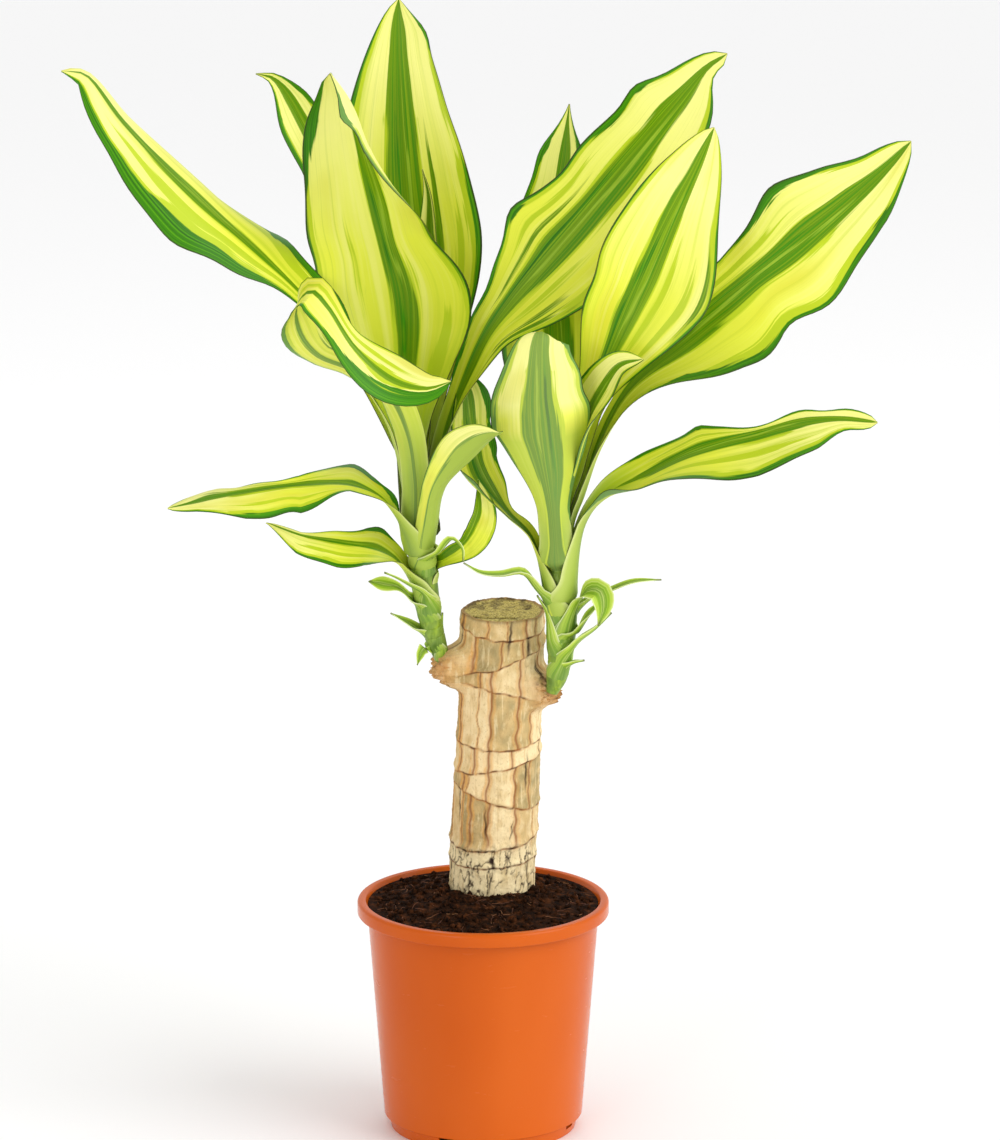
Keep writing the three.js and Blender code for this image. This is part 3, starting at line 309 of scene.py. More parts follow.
        route=[(60, 32, 472), (74, 62, 524), (92, 94, 572), (110, 118, 618), (124, 132, 656)],
        faces=[(0, -1, 0.5), (-0.1, -1, 0.5), (-0.1, -1, 0.4)],
        folds=[0.9, 0.5, 0.3],
        neck=20, width=60, rise=0.2, widest=0.55, wave=(3, 2, 2),
        stripe=(0, 0.2), margins=(0.12, 0.1), bands=[(-0.4, 0.04, "lime", 0.3, 0.8)],
    ),
}

# Scale leaves at the foot of each shoot, grown to its stem: the same measures as a leaf's.
SCALES = [
    dict(
        shoot="left", height=332, turn=200, route=[(-49, 12, 353), (-63, 11, 362)],
        faces=[(0.6, -0.4, 0.8)], folds=[0.8, 0.5], neck=11, width=11, rise=0.2, widest=0.4,
    ),
    dict(
        shoot="left", height=327, turn=215, route=[(-42, 11, 334), (-45, 11, 325)],
        faces=[(0.3, -0.4, 0.8)], folds=[0.8, 0.4], neck=7, width=10, rise=0.2, widest=0.4,
    ),
    dict(
        shoot="left", height=356, turn=195,
        route=[(-52, 5, 377), (-58, 4, 382), (-67, 4, 384), (-78, 4, 386)],
        faces=[(0.4, -0.8, 0.5)], folds=[1, 0.4, 0.4], neck=5, width=11, rise=0.5, widest=0.8,
    ),
    dict(
        shoot="left", height=360, turn=255,
        route=[(-41, -1, 379), (-50, -2, 385), (-60, -2, 391), (-67, -2, 394)],
        faces=[(0.4, 0.4, 0.8)], folds=[1, 0.5, 0.5], neck=9, width=9, rise=0.2, widest=0.3,
    ),
    dict(
        shoot="left", height=390, turn=318,
        route=[(-29, -8, 410), (-21, -12, 420), (-14, -13, 414), (-13, -13, 404)],
        faces=[(-0.7, 0.5, 0.5), (0.6, 0.3, 0.7), (0.9, 0.1, 0.3)], folds=[1, 0.5, 0.5], neck=10, width=9,
        rise=0.2, widest=0.4,
    ),
    dict(
        shoot="left", height=330, turn=350, route=[(-28, 12, 352), (-28, 12, 362)],
        faces=[(-1, 0, 0.1)], folds=[0.9, 0.6], neck=9, width=8, rise=0.1, widest=0.3,
    ),
    dict(
        shoot="right", height=360, turn=215,
        route=[(35, -15, 387), (27, -18, 397), (12, -19, 396), (-2, -19, 398), (-13, -19, 405)],
        faces=[(0.7, 0.2, 0.6), (0.1, -0.4, 0.9)], folds=[1, 0.7, 0.4], neck=12, width=16, rise=0.3,
        widest=0.3,
    ),
    dict(
        shoot="right", height=344, turn=318,
        route=[(64, -18, 375), (72, -24, 387), (79, -28, 387), (81.5, -29, 377), (78, -28, 363)],
        faces=[(-0.7, 0.5, 0.5), (-0.3, -0.8, 0.6), (0.2, -1, 0.3), (0.6, -0.8, 0)],
        folds=[1, 0.6, 0.5, 0.4], neck=12, width=17, rise=0.3, widest=0.7,
    ),
    dict(
        shoot="right", height=340, turn=328, route=[(65, -15, 356), (72, -18, 368), (79, -19, 377)],
        faces=[(-0.7, 0.2, 0.6), (-0.5, -0.5, 0.7)], folds=[1, 0.6, 0.4], neck=10, width=13, rise=0.3,
        widest=0.6,
    ),
    dict(
        shoot="right", height=352, turn=345,
        route=[(73, -12, 378), (88, -15, 385), (102, -17, 391), (121, -18, 393)],
        faces=[(-0.6, 0, 0.8), (-0.1, -0.4, 0.9)], folds=[1, 0.7, 0.4], neck=8, width=8, rise=0.4,
        widest=0.6,
    ),
    dict(
        shoot="right", height=320, turn=300, route=[(64, -17, 348), (76, -20, 359), (87, -22, 371)],
        faces=[(-0.6, 0.2, 0.7), (-0.5, 0.1, 0.8)], folds=[1, 0.6, 0.4], neck=12, width=12, rise=0.3,
        widest=0.5,
    ),
    dict(
        shoot="right", height=315, turn=310, route=[(61, -13, 333), (69, -16, 336)],
        faces=[(-0.4, 0.2, 0.8)], folds=[1, 0.5], neck=11, width=10, rise=0.2, widest=0.4,
    ),
    dict(
        shoot="right", height=338, turn=190, route=[(43, -10, 368), (37, -10, 380)],
        faces=[(0.9, 0, 0.3)], folds=[1, 0.6], neck=15, width=13, rise=0.2, widest=0.3,
    ),
]
SCALE_COMMON = dict(layer=0, grip=1.3, sheath=12, wave=(0, 1, 0), sunk=0.9)

POT = dict(height=162, lip_radius=86.5, bead=5, collar=9.5, skirt=1.8, flare=5, top_radius=79.8,
           step_radius=68.4, step_height=9, foot_radius=64, wall=1.8, floor=2.5, recess=2)
SLOTS = {"count": 4, "first": -113, "width": 11, "from": 61, "to": 80, "low": 4.6, "high": 8.4}
SOIL = dict(radius=79, fit=0.65, edge=159.3, mound=166, level=20, lump=0.9)
CANE = dict(bottom=60, top=361, low_radius=29.6, top_radius=28.4, cut_tilt=2.5, tilt_from=341, scar_from=176)
CANE_FOOT = (6, 22)
CANE_HEAD = (14, 22)
# Leaf scars: height, rise across the cane, direction that it rises to, ridge height.
SCARS = [(188, 2, 40, 0.9), (203, 5, 50, 1.2), (235, 9, 160, 0.8), (258, 6, 20, 1.3), (275, 5, 90, 0.9),
         (311, 7, 180, 1.2), (332, 10, 15, 1.5), (354, 6, 100, 0.6)]
SCAR_WIDTH = 2.6
# Calluses that the shoots grow from: direction, height, how far they stand out, and their spread
# round the cane in radians and along it.
CALLUSES = [(192, 323, 18, 0.5, 13.5), (-24, 309, 13, 0.46, 13)]
# What the bark's points carry: the tone of the plate, with painted light making it paler on the side facing
# right, its corky border, seams, dirt, sawn wood and stains.
BARK_SHADES = ("patch", "border", "seam", "crack", "cut", "stain")
FLAKED_BELOW, FLAKED_FADE = 207, 16  # the cane is flaked below the first, and fully so this much lower

# Rows along a blade and columns across it.
LEAF_GRID = (72, 26)
SCALE_GRID = (26, 10)


def linear(code):
    """Turns an sRGB hex value into linear red, green, blue and alpha."""
    parts = [int(code[place:place + 2], 16) / 255 for place in (0, 2, 4)]
    lit = [part / 12.92 if part <= 0.04045 else ((part + 0.055) / 1.055) ** 2.4 for part in parts]
    return (*lit, 1.0)


def colour(name, description, code):
    """A colour that the user can change."""
    return bpy.props.FloatVectorProperty(
        name=name, description=description, default=linear(code), subtype="COLOR", size=4, min=0, max=1)


def distance_setting(name, description, metres):
    """A length that the user can change."""
    return bpy.props.FloatProperty(name=name, description=description, default=metres, unit="LENGTH")


def count_setting(name, description, number, least=0):
    """A number of things that the user can change."""
    return bpy.props.IntProperty(name=name, description=description, default=number, min=least)


class LeafSettings(bpy.types.PropertyGroup):
    """Leaves and stems."""

    middle: distance_setting("Blade middle", "Thickness of a blade at its midrib", 0.9 * MM)
    edge: distance_setting("Blade edge", "Thickness of a blade at its edge", 0.4 * MM)
    vein: distance_setting("Vein spacing", "From one parallel vein to the next", 1.4 * MM)
    yellow: colour("Yellow", "Ground of the blades", "E6EA48")
    # Cream: the ground near the tips, and also the colour of the painted highlight streaks.
    cream: colour("Cream", "Ground near the tips, and of the underside", "F2F08A")
    lime: colour("Lime", "Foot of the blades and the stripes beside the green ones", "B9CC22")
    amber: colour("Amber", "Riper patches", "D2CB1C")
    green: colour("Green", "Middle stripe", "658B00")
    deep: colour("Deep green", "Green edges", "3F8A00")
    sheen: colour("Sheen", "Lighter lines in the middle stripe", "93B32C")
    sheath: colour("Sheath", "Leaf stalks and sheaths", "98B422")
    outline: colour("Edge line", "Thin dry line along the very edge", "333F16")


class CaneSettings(bpy.types.PropertyGroup):
    """The sawn cane."""

    crack: distance_setting("Crack depth", "Depth of the cracks in the bark", 0.9 * MM)
    cracks: count_setting("Cracks", "Number of long cracks", 22)
    plates: count_setting("Plates", "Plates of bark round the cane between two leaf scars", 12, 2)
    tan: colour("Tan", "Dry bark", "CDB37C")
    # Pale: bleached bark, and also the painted light on the side of the cane facing right.
    pale: colour("Pale", "Bleached bark", "F0DCAC")
    olive: colour("Olive", "Older grey plates", "968D62")
    border: colour("Border", "Fresh corky borders of the plates", "DA9C4C")
    rust: colour("Rust", "Lines between the bark plates", "8F501A")
    soot: colour("Soot", "Dirt in the cracks", "2C190B")


class SoilSettings(bpy.types.PropertyGroup):
    """The potting soil."""

    crumb: distance_setting("Crumb", "Radius of a middling crumb", 1.5 * MM)
    crumbs: count_setting("Crumbs", "Number of loose crumbs", 900)
    fibres: count_setting("Fibres", "Number of loose fibres", 90)
    dark: colour("Dark", "Moist soil", "291508")
    brown: colour("Brown", "Drier crumbs", "573018")


class PotSettings(bpy.types.PropertyGroup):
    """The nursery pot."""

    peel: distance_setting("Mould texture", "Size of the faint moulded texture", 2.5 * MM)
    orange: colour("Orange", "Moulded plastic", "C55404")


class StageSettings(bpy.types.PropertyGroup):
    """Camera, light and floor."""

    target: bpy.props.FloatVectorProperty(
        name="Target", description="Point the camera looks at", default=(0.0116, 0, 0.395),
        subtype="TRANSLATION", unit="LENGTH")
    distance: distance_setting("Camera distance", "From the camera to its target", 5.0)
    elevation: bpy.props.FloatProperty(
        name="Elevation", description="How far the camera looks down", default=math.radians(14.3),
        unit="ROTATION")
    frame_height: distance_setting("Frame height", "Height seen at the target", 0.7752)
    floor: distance_setting("Floor", "Width of the floor", 16.0)
    pale: colour("Floor colour", "Painted floor", "FCFCFC")


# ---- curves ----
def clamped(value):
    """The value kept between 0 and 1."""
    return min(max(value, 0.0), 1.0)


def smooth(value):
    """An S-shaped rise from 0 to 1."""
    value = clamped(value)
    return value * value * (3 - 2 * value)


def bell(away, width):
    """1 at no distance, and fading out over the width."""
    return math.exp(-((away / width) ** 2))


def mix(a, b, share):
    """The value a share of the way from a to b."""
    return a + (b - a) * share


def along(values, share):
    """The value a share of the way along a list of numbers or vectors."""
    place = clamped(share) * (len(values) - 1)
    index = int(place)
    a, b = values[index], values[min(index + 1, len(values) - 1)]
    if isinstance(a, tuple):
        return Vector(a).lerp(Vector(b), place - index)
    return mix(a, b, place - index)


def turns(sides):
    """Even directions round a circle."""
    return [2 * math.pi * side / sides for side in range(sides)]


class Route:
    """A centripetal Catmull-Rom curve through its points."""

    STEPS = 400

    def __init__(self, points):
        self.points = [Vector(point) for point in points]
        self.lengths = [0.0]
        last = self.point(0)
        for step in range(1, self.STEPS + 1):
            here = self.point(step / self.STEPS)
            self.lengths.append(self.lengths[-1] + (here - last).length)
            last = here

    def point(self, at):
        """The point at a parameter from 0 to 1."""
        points = self.points
        spans = len(points) - 1
        index = min(int(at * spans), spans - 1)
        weight = at * spans - index
        p1, p2 = points[index], points[index + 1]
        p0 = points[index - 1] if index > 0 else 2 * p1 - p2
        p3 = points[index + 2] if index + 2 <= spans else 2 * p2 - p1
        d0, d1, d2 = ((b - a).length ** 0.5 for a, b in ((p0, p1), (p1, p2), (p2, p3)))
        t1 = ((p1 - p0) / d0 - (p2 - p0) / (d0 + d1) + (p2 - p1) / d1) * d1
        t2 = ((p2 - p1) / d1 - (p3 - p1) / (d1 + d2) + (p3 - p2) / d2) * d1
        return (p1 + t1 * weight + (3 * (p2 - p1) - 2 * t1 - t2) * weight ** 2
                + (2 * (p1 - p2) + t1 + t2) * weight ** 3)

    def direction(self, at):
        """The unit tangent at a parameter."""
        step = 1e-4
        return (self.point(min(at + step, 1)) - self.point(max(at - step, 0))).normalized()

    def at_share(self, share):
        """The parameter at a share of the length."""
        goal = share * self.lengths[-1]
        return float(np.interp(goal, self.lengths, np.linspace(0, 1, self.STEPS + 1)))


for shoot in STEMS.values():
    shoot["axis"] = Route(shoot["points"])


def stem_at(stem, height):
    """The stem's centre and radius at a height."""
    low, high = 0.0, 1.0
    while high - low > 1e-4:
        middle = (low + high) / 2
        if stem["axis"].point(middle).z < height:
            low = middle
        else:
            high = middle
    centre = stem["axis"].point(low)
    centre.z = height
    return centre, along(stem["radii"], low)


# ---- meshes ----
class Shape:
    """Vertices in millimetres, faces, a material number for each face and a UV place for each vertex."""

    def __init__(self):
        self.points, self.faces, self.slots, self.places = [], [], [], []

    def grid(self, rings, places, slot, closed):
        """Quads between rings of points. Returns the number of its first vertex."""
        first = len(self.points)
        count = len(rings[0])
        for ring in rings:
            self.points.extend(ring)
        for row in places:
            self.places.extend(row)
        for row in range(len(rings) - 1):
            for side in range(count if closed else count - 1):
                a = first + row * count + side
                b = first + row * count + (side + 1) % count
                self.face((a, b, b + count, a + count), slot)
        return first

    def tube(self, rings, places=()):
        """Quads between closed rings, with a face over each end."""
        first = self.grid(rings, places, 0, True)
        sides = len(rings[0])
        last = len(self.points) - sides
        self.face(tuple(first + side for side in reversed(range(sides))), 0)
        self.face(tuple(last + side for side in range(sides)), 0)

    def face(self, corners, slot):
        """Adds one face."""
        self.faces.append(corners)
        self.slots.append(slot)

    def piece(self, name, materials, sharp=50):
        """Makes the object, with smooth faces and a crease where they meet at a steeper angle."""
        mesh = bpy.data.meshes.new(name)
        points = [tuple(coordinate * MM for coordinate in point) for point in self.points]
        mesh.from_pydata(points, [], self.faces)
        for material in materials:
            mesh.materials.append(material)
        mesh.polygons.foreach_set("material_index", self.slots)
        if self.places:
            layer = mesh.uv_layers.new(name="blade")
            corners = np.empty(len(mesh.loops), np.int32)
            mesh.loops.foreach_get("vertex_index", corners)
            layer.data.foreach_set("uv", np.array(self.places, np.float32)[corners].ravel())
        mesh.validate()
        mesh.shade_smooth()
        mesh.set_sharp_from_angle(angle=math.radians(sharp))
        piece = bpy.data.objects.new(name, mesh)
        bpy.context.scene.collection.objects.link(piece)
        return piece


def mount(piece, slot, *nodes):
    """The piece rides on the one body and stands for the nodes it replaces. The slot is not used."""
    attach(piece, "root")
    if nodes:
        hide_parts(*nodes)


def set_shade(mesh, name, values):
    """Stores a number for each vertex, for a material to read."""
    mesh.attributes.new(name, "FLOAT", "POINT").data.foreach_set("value", np.asarray(values, np.float32))


# ---- materials ----
def add(tree, kind, settings=None, links=None):
    """Adds one node, with its settings, and feeds its inputs from other nodes or with plain values."""
    node = tree.nodes.new(kind)
    for name, value in (settings or {}).items():
        if name != "stops":
            setattr(node, name, value)
            continue
        band = node.color_ramp
        band.elements.remove(band.elements[1])
        band.elements[0].position, band.elements[0].color = value[0]
        for position, shade in value[1:]:
            band.elements.new(position).color = shade
    for name, source in (links or {}).items():
        if isinstance(source, bpy.types.NodeSocket):
            tree.links.new(source, node.inputs[name])
        else:
            node.inputs[name].default_value = source
    return node


def finish(name, roughness, ior, coat=0.0, shine=0.5):
    """A material with its shader set to typical values. Returns the material, its tree and the shader."""
    material = bpy.data.materials.new(name)
    material.use_nodes = True
    shader = material.node_tree.nodes["Principled BSDF"]
    shader.inputs["Roughness"].default_value = roughness
    shader.inputs["IOR"].default_value = ior
    shader.inputs["Coat Weight"].default_value = coat
    shader.inputs["Specular IOR Level"].default_value = shine
    return material, material.node_tree, shader


def cover(tree, shader, skin, roughness, relief=None, strength=0.0, depth=0.0):
    """Feeds the shader a colour, a roughness and a fine relief, with its depth in millimetres."""
    tree.links.new(skin, shader.inputs["Base Color"])
    tree.links.new(roughness, shader.inputs["Roughness"])
    if relief is not None:
        heights = {"Height": relief, "Strength": strength, "Distance": depth * MM}
        bump = add(tree, "ShaderNodeBump", None, heights)
        tree.links.new(bump.outputs[0], shader.inputs["Normal"])


def stretched_noise(tree, place, scale, seed, detail=2.0):
    """Noise drawn out by a scale for each axis."""
    moved = add(tree, "ShaderNodeMapping", None, {
        "Vector": place, "Location": (seed, seed * 0.7, seed * 1.3), "Scale": scale})
    return add(tree, "ShaderNodeTexNoise", None, {
        "Vector": moved.outputs[0], "Scale": 1.0, "Detail": detail, "Roughness": 0.55}).outputs["Fac"]


def tinted(tree, share, below, above):
    """The colour below, covered with the colour above by a share."""
    return add(tree, "ShaderNodeMix", {"data_type": "RGBA"}, {0: share, 6: below, 7: above}).outputs[2]


def washed(tree, skin, value, start, stop, most, shade):
    """The skin, covered more and more with a colour as a value goes from start to stop."""
    return tinted(tree, mapped(tree, value, start, stop, 0, most), skin, shade)


def stripes_of(leaf):
    """Every stripe of a leaf, in the order they are painted: middle, half width, colour, start and end."""
    middle, half = leaf["stripe"]
    left, right = leaf["margins"]
    begin = leaf.get("stalk", (-0.2, 0))[0]
    stripes = [(-1, left + 0.09, "lime", 0.2, 1.2), (1, right + 0.09, "lime", 0.2, 1.2)]
    stripes += leaf["bands"]
    stripes += [(hand, min(0.1 + 0.5 * gain, 0.32), "deep", share - 1.9 * reach, share + 1.9 * reach)
                for hand, share, reach, gain in leaf.get("bumps", []) if gain > 0.1]
    stripes += [(-1, left, "deep", 0.22, 1.2), (1, right, "deep", 0.22, 1.2)]
    stripes += [(middle, half * 1.22, "lime", begin, 0.97), (middle, half, "green", begin, 1.1)]
    stripes += [(middle - half * 0.42, half * 0.13, "deep", max(begin, 0.1), 0.9),
                (middle + half * 0.2, half * 0.1, "sheen", 0.3, 1)]
    return stripes


def mapped(tree, value, start, stop, low, high):
    """A value taken from one range to another, and kept within it."""
    return add(tree, "ShaderNodeMapRange", None, {
        "Value": value, "From Min": start, "From Max": stop, "To Min": low, "To Max": high}).outputs[0]


def worked(tree, operation, first, second=0.0):
    """One sum."""
    return add(tree, "ShaderNodeMath", {"operation": operation}, {0: first, 1: second}).outputs[0]


def ramp(tree, value, *stops):
    """A colour picked by a value."""
    return add(tree, "ShaderNodeValToRGB", {"stops": stops}, {0: value}).outputs[0]


def paint_stripe(tree, below, across, length, pulse, stripe, shades):
    """Paints one stripe, tapering to a point at its start and end. Edge stripes swell and thin out."""
    middle, half, shade, start, end = stripe
    away = worked(tree, "ABSOLUTE", worked(tree, "SUBTRACT", across, (middle + 1) / 2))
    reach = half / 2
    fade = min((end - start) / 2, 0.2)
    if start > 0:
        reach = mapped(tree, length, start, start + fade, -0.02, half / 2)
    if end < 1.1:
        taper = mapped(tree, length, end - fade, end, half / 2, -0.02)
        reach = worked(tree, "MINIMUM", reach, taper)
    if abs(middle) == 1:
        reach = worked(tree, "MULTIPLY", reach, pulse)
    inside = worked(tree, "SUBTRACT", reach, away)
    return tinted(tree, mapped(tree, inside, -0.003, 0.009, 0, 1), below, shades[shade])


def leaf_skin(name, leaf, settings, seed):
    """Waxed leaf skin: a soft sheen over parallel veins, with stripes that follow them.

    The wax gives a broad, soft gloss. The veins lie a millimetre or two apart and barely show.
    The underside has the same pattern under a paler, duller skin.
    """
    material, tree, shader = finish(name, 0.42, 1.45, 0.03, 0.2)
    shader.inputs["Coat Roughness"].default_value = 0.35
    names = ("yellow", "cream", "lime", "amber", "green", "deep", "sheen", "sheath", "outline")
    shades = {key: tuple(getattr(settings, key)) for key in names}
    place = add(tree, "ShaderNodeUVMap", {"uv_map": "blade"}).outputs[0]
    under = add(tree, "ShaderNodeAttribute", {"attribute_name": "under"}).outputs["Fac"]
    parts = add(tree, "ShaderNodeSeparateXYZ", None, {0: place})
    edge, length = parts.outputs[0], parts.outputs[1]
    drift = stretched_noise(tree, place, (2.2, 3.0, 1), seed)
    ragged = stretched_noise(tree, place, (34, 2.2, 1), seed + 5)
    streaks = stretched_noise(tree, place, (12, 0.9, 1), seed + 9, 3)
    fine = stretched_noise(tree, place, (80, 1.5, 1), seed + 13, 3)
    pulse = mapped(tree, stretched_noise(tree, place, (1.3, 4.5, 1), seed + 21), 0.36, 0.64, 0.7, 1.3)
    across = edge
    for wander, size in ((drift, 0.03), (ragged, 0.022)):
        across = worked(tree, "ADD", across, mapped(tree, wander, 0.3, 0.7, -size, size))
    light, dark = linear("86AA10"), linear("2A6203")
    shades["green"] = ramp(tree, fine, (0.32, shades["deep"]), (0.5, shades["green"]), (0.68, light))
    shades["green"] = tinted(tree, mapped(tree, length, 0.15, 0.6, 0.4, 0), shades["green"], linear("4F7406"))
    shades["deep"] = ramp(tree, fine, (0.36, dark), (0.56, shades["deep"]), (0.72, linear("5C9E06")))
    rim, near_rim = linear("D5DF8C"), linear("AFC44A")
    rind = ramp(tree, edge, (0.0, rim), (0.1, near_rim), (0.3, shades["sheath"]), (0.5, linear("789A2C")),
                (0.7, shades["sheath"]), (0.9, near_rim), (1.0, rim))
    start, end = leaf.get("pale", (0.2, 0.86))
    skin = ramp(tree, length, (start, shades["lime"]), (mix(start, end, 0.3), linear("D6DC38")),
                (mix(start, end, 0.6), shades["yellow"]), (end, shades["cream"]))
    skin = washed(tree, skin, streaks, 0.54, 0.7, 0.55, shades["lime"])
    # Painted highlights: paler cream streaks along the blade, weaker towards the foot.
    highlight_towards_tip = mapped(tree, length, start, mix(start, end, 0.6), 0.2, 1)
    painted_highlight_streaks = worked(tree, "MULTIPLY", mapped(tree, streaks, 0.46, 0.3, 0, 0.7), highlight_towards_tip)
    skin = tinted(tree, painted_highlight_streaks, skin, shades["cream"])
    skin = washed(tree, skin, drift, 0.56, 0.72, 0.5, shades["amber"])
    stalk_end, blade_start = leaf.get("stalk", (0.13, 0.26))
    skin = tinted(tree, mapped(tree, length, stalk_end, blade_start, 1, 0), skin, rind)
    skin = washed(tree, skin, fine, 0.55, 0.8, 0.35, shades["sheath"])
    for stripe in stripes_of(leaf):
        skin = paint_stripe(tree, skin, across, length, pulse, stripe, shades)
    skin = tinted(tree, worked(tree, "MULTIPLY", under, 0.12), skin, linear("EDEBB4"))
    brim = worked(tree, "ABSOLUTE", worked(tree, "SUBTRACT", edge, 0.5))
    brim = worked(tree, "ADD", brim, mapped(tree, drift, 0.3, 0.7, -0.004, 0.004))
    skin = washed(tree, skin, brim, 0.485, 0.494, 0.9, shades["outline"])
    dullness = worked(tree, "ADD", drift, worked(tree, "MULTIPLY", under, 0.5))
    count = leaf["width"] * MM / settings.vein
    veins = stretched_noise(tree, place, (count, 1.2, 1), seed + 17, 1)
    cover(tree, shader, skin, mapped(tree, dullness, 0.3, 1.1, 0.32, 0.6), veins, 0.3, 0.4)
    return material


def stem_skin():
    """Young green stem: smooth and slightly waxed, mottled from dark green through greyer green to lime, with
    darker streaks. The darkest patches and the streaks are partly its own tone and partly painted shade, for
    where it shows between the sheaths.
    """
    material, tree, shader = finish("green_stem_skin", 0.45, 1.45, 0.04, 0.3)
    place = add(tree, "ShaderNodeTexCoord").outputs["Object"]
    patches = stretched_noise(tree, place, (90, 90, 50), 3)
    streaks = stretched_noise(tree, place, (700, 700, 25), 8)
    # Painted shade in part: the darkest green patches and the dark streaks stand for the shade where the stem
    # shows between the sheaths.
    skin = ramp(tree, patches, (0.34, linear("4F6E14")), (0.46, linear("728F3A")), (0.58, linear("8CA83E")),
                (0.7, linear("A0BC30")))
    skin = washed(tree, skin, streaks, 0.4, 0.7, 0.6, linear("5A7A1C"))
    cover(tree, shader, skin, mapped(tree, patches, 0.3, 0.7, 0.52, 0.38), streaks, 0.3, 0.5)
    return material


def scale_skin():
    """Scale leaf: thin and lime, whitish at its edges, grey green down the middle and dry at the tip."""
    material, tree, shader = finish("scale_leaf_skin", 0.45, 1.45, 0.0, 0.3)
    place = add(tree, "ShaderNodeUVMap", {"uv_map": "blade"}).outputs[0]
    parts = add(tree, "ShaderNodeSeparateXYZ", None, {0: place})
    edge, length = parts.outputs[0], parts.outputs[1]
    rim = linear("E4ECB4")
    skin = ramp(tree, edge, (0.0, rim), (0.07, linear("BBD248")), (0.25, linear("8CB31C")),
                (0.5, linear("6A8E2A")), (0.72, linear("94BA1E")), (0.93, linear("C2D850")), (1.0, rim))
    streaks = stretched_noise(tree, place, (16, 1.5, 1), 4)
    skin = washed(tree, skin, streaks, 0.52, 0.66, 0.6, linear("CFDD7C"))
    skin = washed(tree, skin, streaks, 0.46, 0.34, 0.6, linear("5E8626"))
    skin = tinted(tree, mapped(tree, length, 0.05, 0.4, 0.45, 0), skin, linear("6F8F48"))
    skin = washed(tree, skin, length, 0.93, 1.0, 0.8, linear("5A5A30"))
    cover(tree, shader, skin, mapped(tree, streaks, 0.3, 0.7, 0.38, 0.55), streaks, 0.3, 0.4)
    return material


def bark(settings):
    """Dry corky bark in plates: matt, olive to bleached, with corky borders, rusty seams and dirty cracks;
    its right side is painted paler as painted light.
    """
    material, tree, shader = finish("dry_cane_bark", 0.8, 1.4)
    place = add(tree, "ShaderNodeTexCoord").outputs["Object"]
    shade = {name: add(tree, "ShaderNodeAttribute", {"attribute_name": name}).outputs["Fac"]
             for name in BARK_SHADES}
    mottle = stretched_noise(tree, place, (240, 240, 120), 2, 4)
    grit = stretched_noise(tree, place, (900, 900, 500), 6, 3)
    skin = ramp(tree, shade["patch"], (0.12, tuple(settings.olive)), (0.45, tuple(settings.tan)),
                (0.8, tuple(settings.pale)))
    skin = washed(tree, skin, mottle, 0.5, 0.7, 0.3, tuple(settings.tan))
    skin = washed(tree, skin, mottle, 0.44, 0.3, 0.45, tuple(settings.pale))
    skin = tinted(tree, shade["border"], skin, tuple(settings.border))
    fibres = stretched_noise(tree, place, (330, 330, 38), 9, 3)
    skin = washed(tree, skin, fibres, 0.57, 0.7, 0.4, linear("B08A52"))
    skin = washed(tree, skin, fibres, 0.44, 0.34, 0.5, tuple(settings.pale))
    skin = washed(tree, skin, grit, 0.56, 0.74, 0.4, linear("8F6F3E"))
    cut = ramp(tree, grit, (0.34, linear("77622A")), (0.46, linear("BBA452")), (0.62, linear("DFCB7E")))
    skin = tinted(tree, shade["cut"], skin, cut)
    skin = tinted(tree, shade["seam"], skin, tuple(settings.rust))
    skin = tinted(tree, shade["stain"], skin, linear("5C4822"))
    skin = tinted(tree, shade["crack"], skin, tuple(settings.soot))
    cover(tree, shader, skin, mapped(tree, grit, 0, 1, 0.66, 0.92), grit, 0.5, 0.8)
    return material


def soil_finish(settings):
    """Moist peat and bark compost: very dark and matt, with drier brown crumbs."""
    material, tree, shader = finish("moist_peat_compost", 0.9, 1.3, 0.0, 0.15)
    place = add(tree, "ShaderNodeTexCoord").outputs["Object"]
    lumps = stretched_noise(tree, place, (160, 160, 160), 1, 4)
    grains = stretched_noise(tree, place, (800, 800, 800), 4, 3)
    skin = ramp(tree, lumps, (0.38, linear("120905")), (0.52, tuple(settings.dark)),
                (0.7, tuple(settings.brown)))
    skin = washed(tree, skin, grains, 0.52, 0.75, 0.6, tuple(settings.brown))
    cover(tree, shader, skin, mapped(tree, grains, 0.3, 0.7, 0.8, 0.96), grains, 0.8, 1.2)
    return material


def fibre_finish():
    """Coir and bark fibres in the compost: reddish brown and dry."""
    material, tree, shader = finish("coir_fibre", 0.75, 1.45)
    place = add(tree, "ShaderNodeTexCoord").outputs["Object"]
    patches = stretched_noise(tree, place, (120, 120, 120), 2)
    skin = ramp(tree, patches, (0.35, linear("42210F")), (0.5, linear("5E3219")), (0.65, linear("7C5230")))
    cover(tree, shader, skin, mapped(tree, patches, 0.3, 0.7, 0.65, 0.85))
    return material


def pot_plastic(settings):
    """Polypropylene, injection moulded: an even orange with a clean gloss and a faint mould texture."""
    material, tree, shader = finish("moulded_polypropylene", 0.24, 1.49, 0.0, 0.2)
    place = add(tree, "ShaderNodeTexCoord").outputs["Object"]
    flow = stretched_noise(tree, place, (14, 14, 5), 3)
    skin = tinted(tree, mapped(tree, flow, 0.3, 0.7, 0, 0.25), tuple(settings.orange), linear("E5762A"))
    scuffs = stretched_noise(tree, place, (60, 60, 260), 7, 4)
    peel = add(tree, "ShaderNodeTexNoise", None, {"Vector": place, "Scale": 1 / settings.peel}).outputs["Fac"]
    cover(tree, shader, skin, mapped(tree, scuffs, 0.3, 0.8, 0.18, 0.3), peel, 0.05, 0.2)
    return material


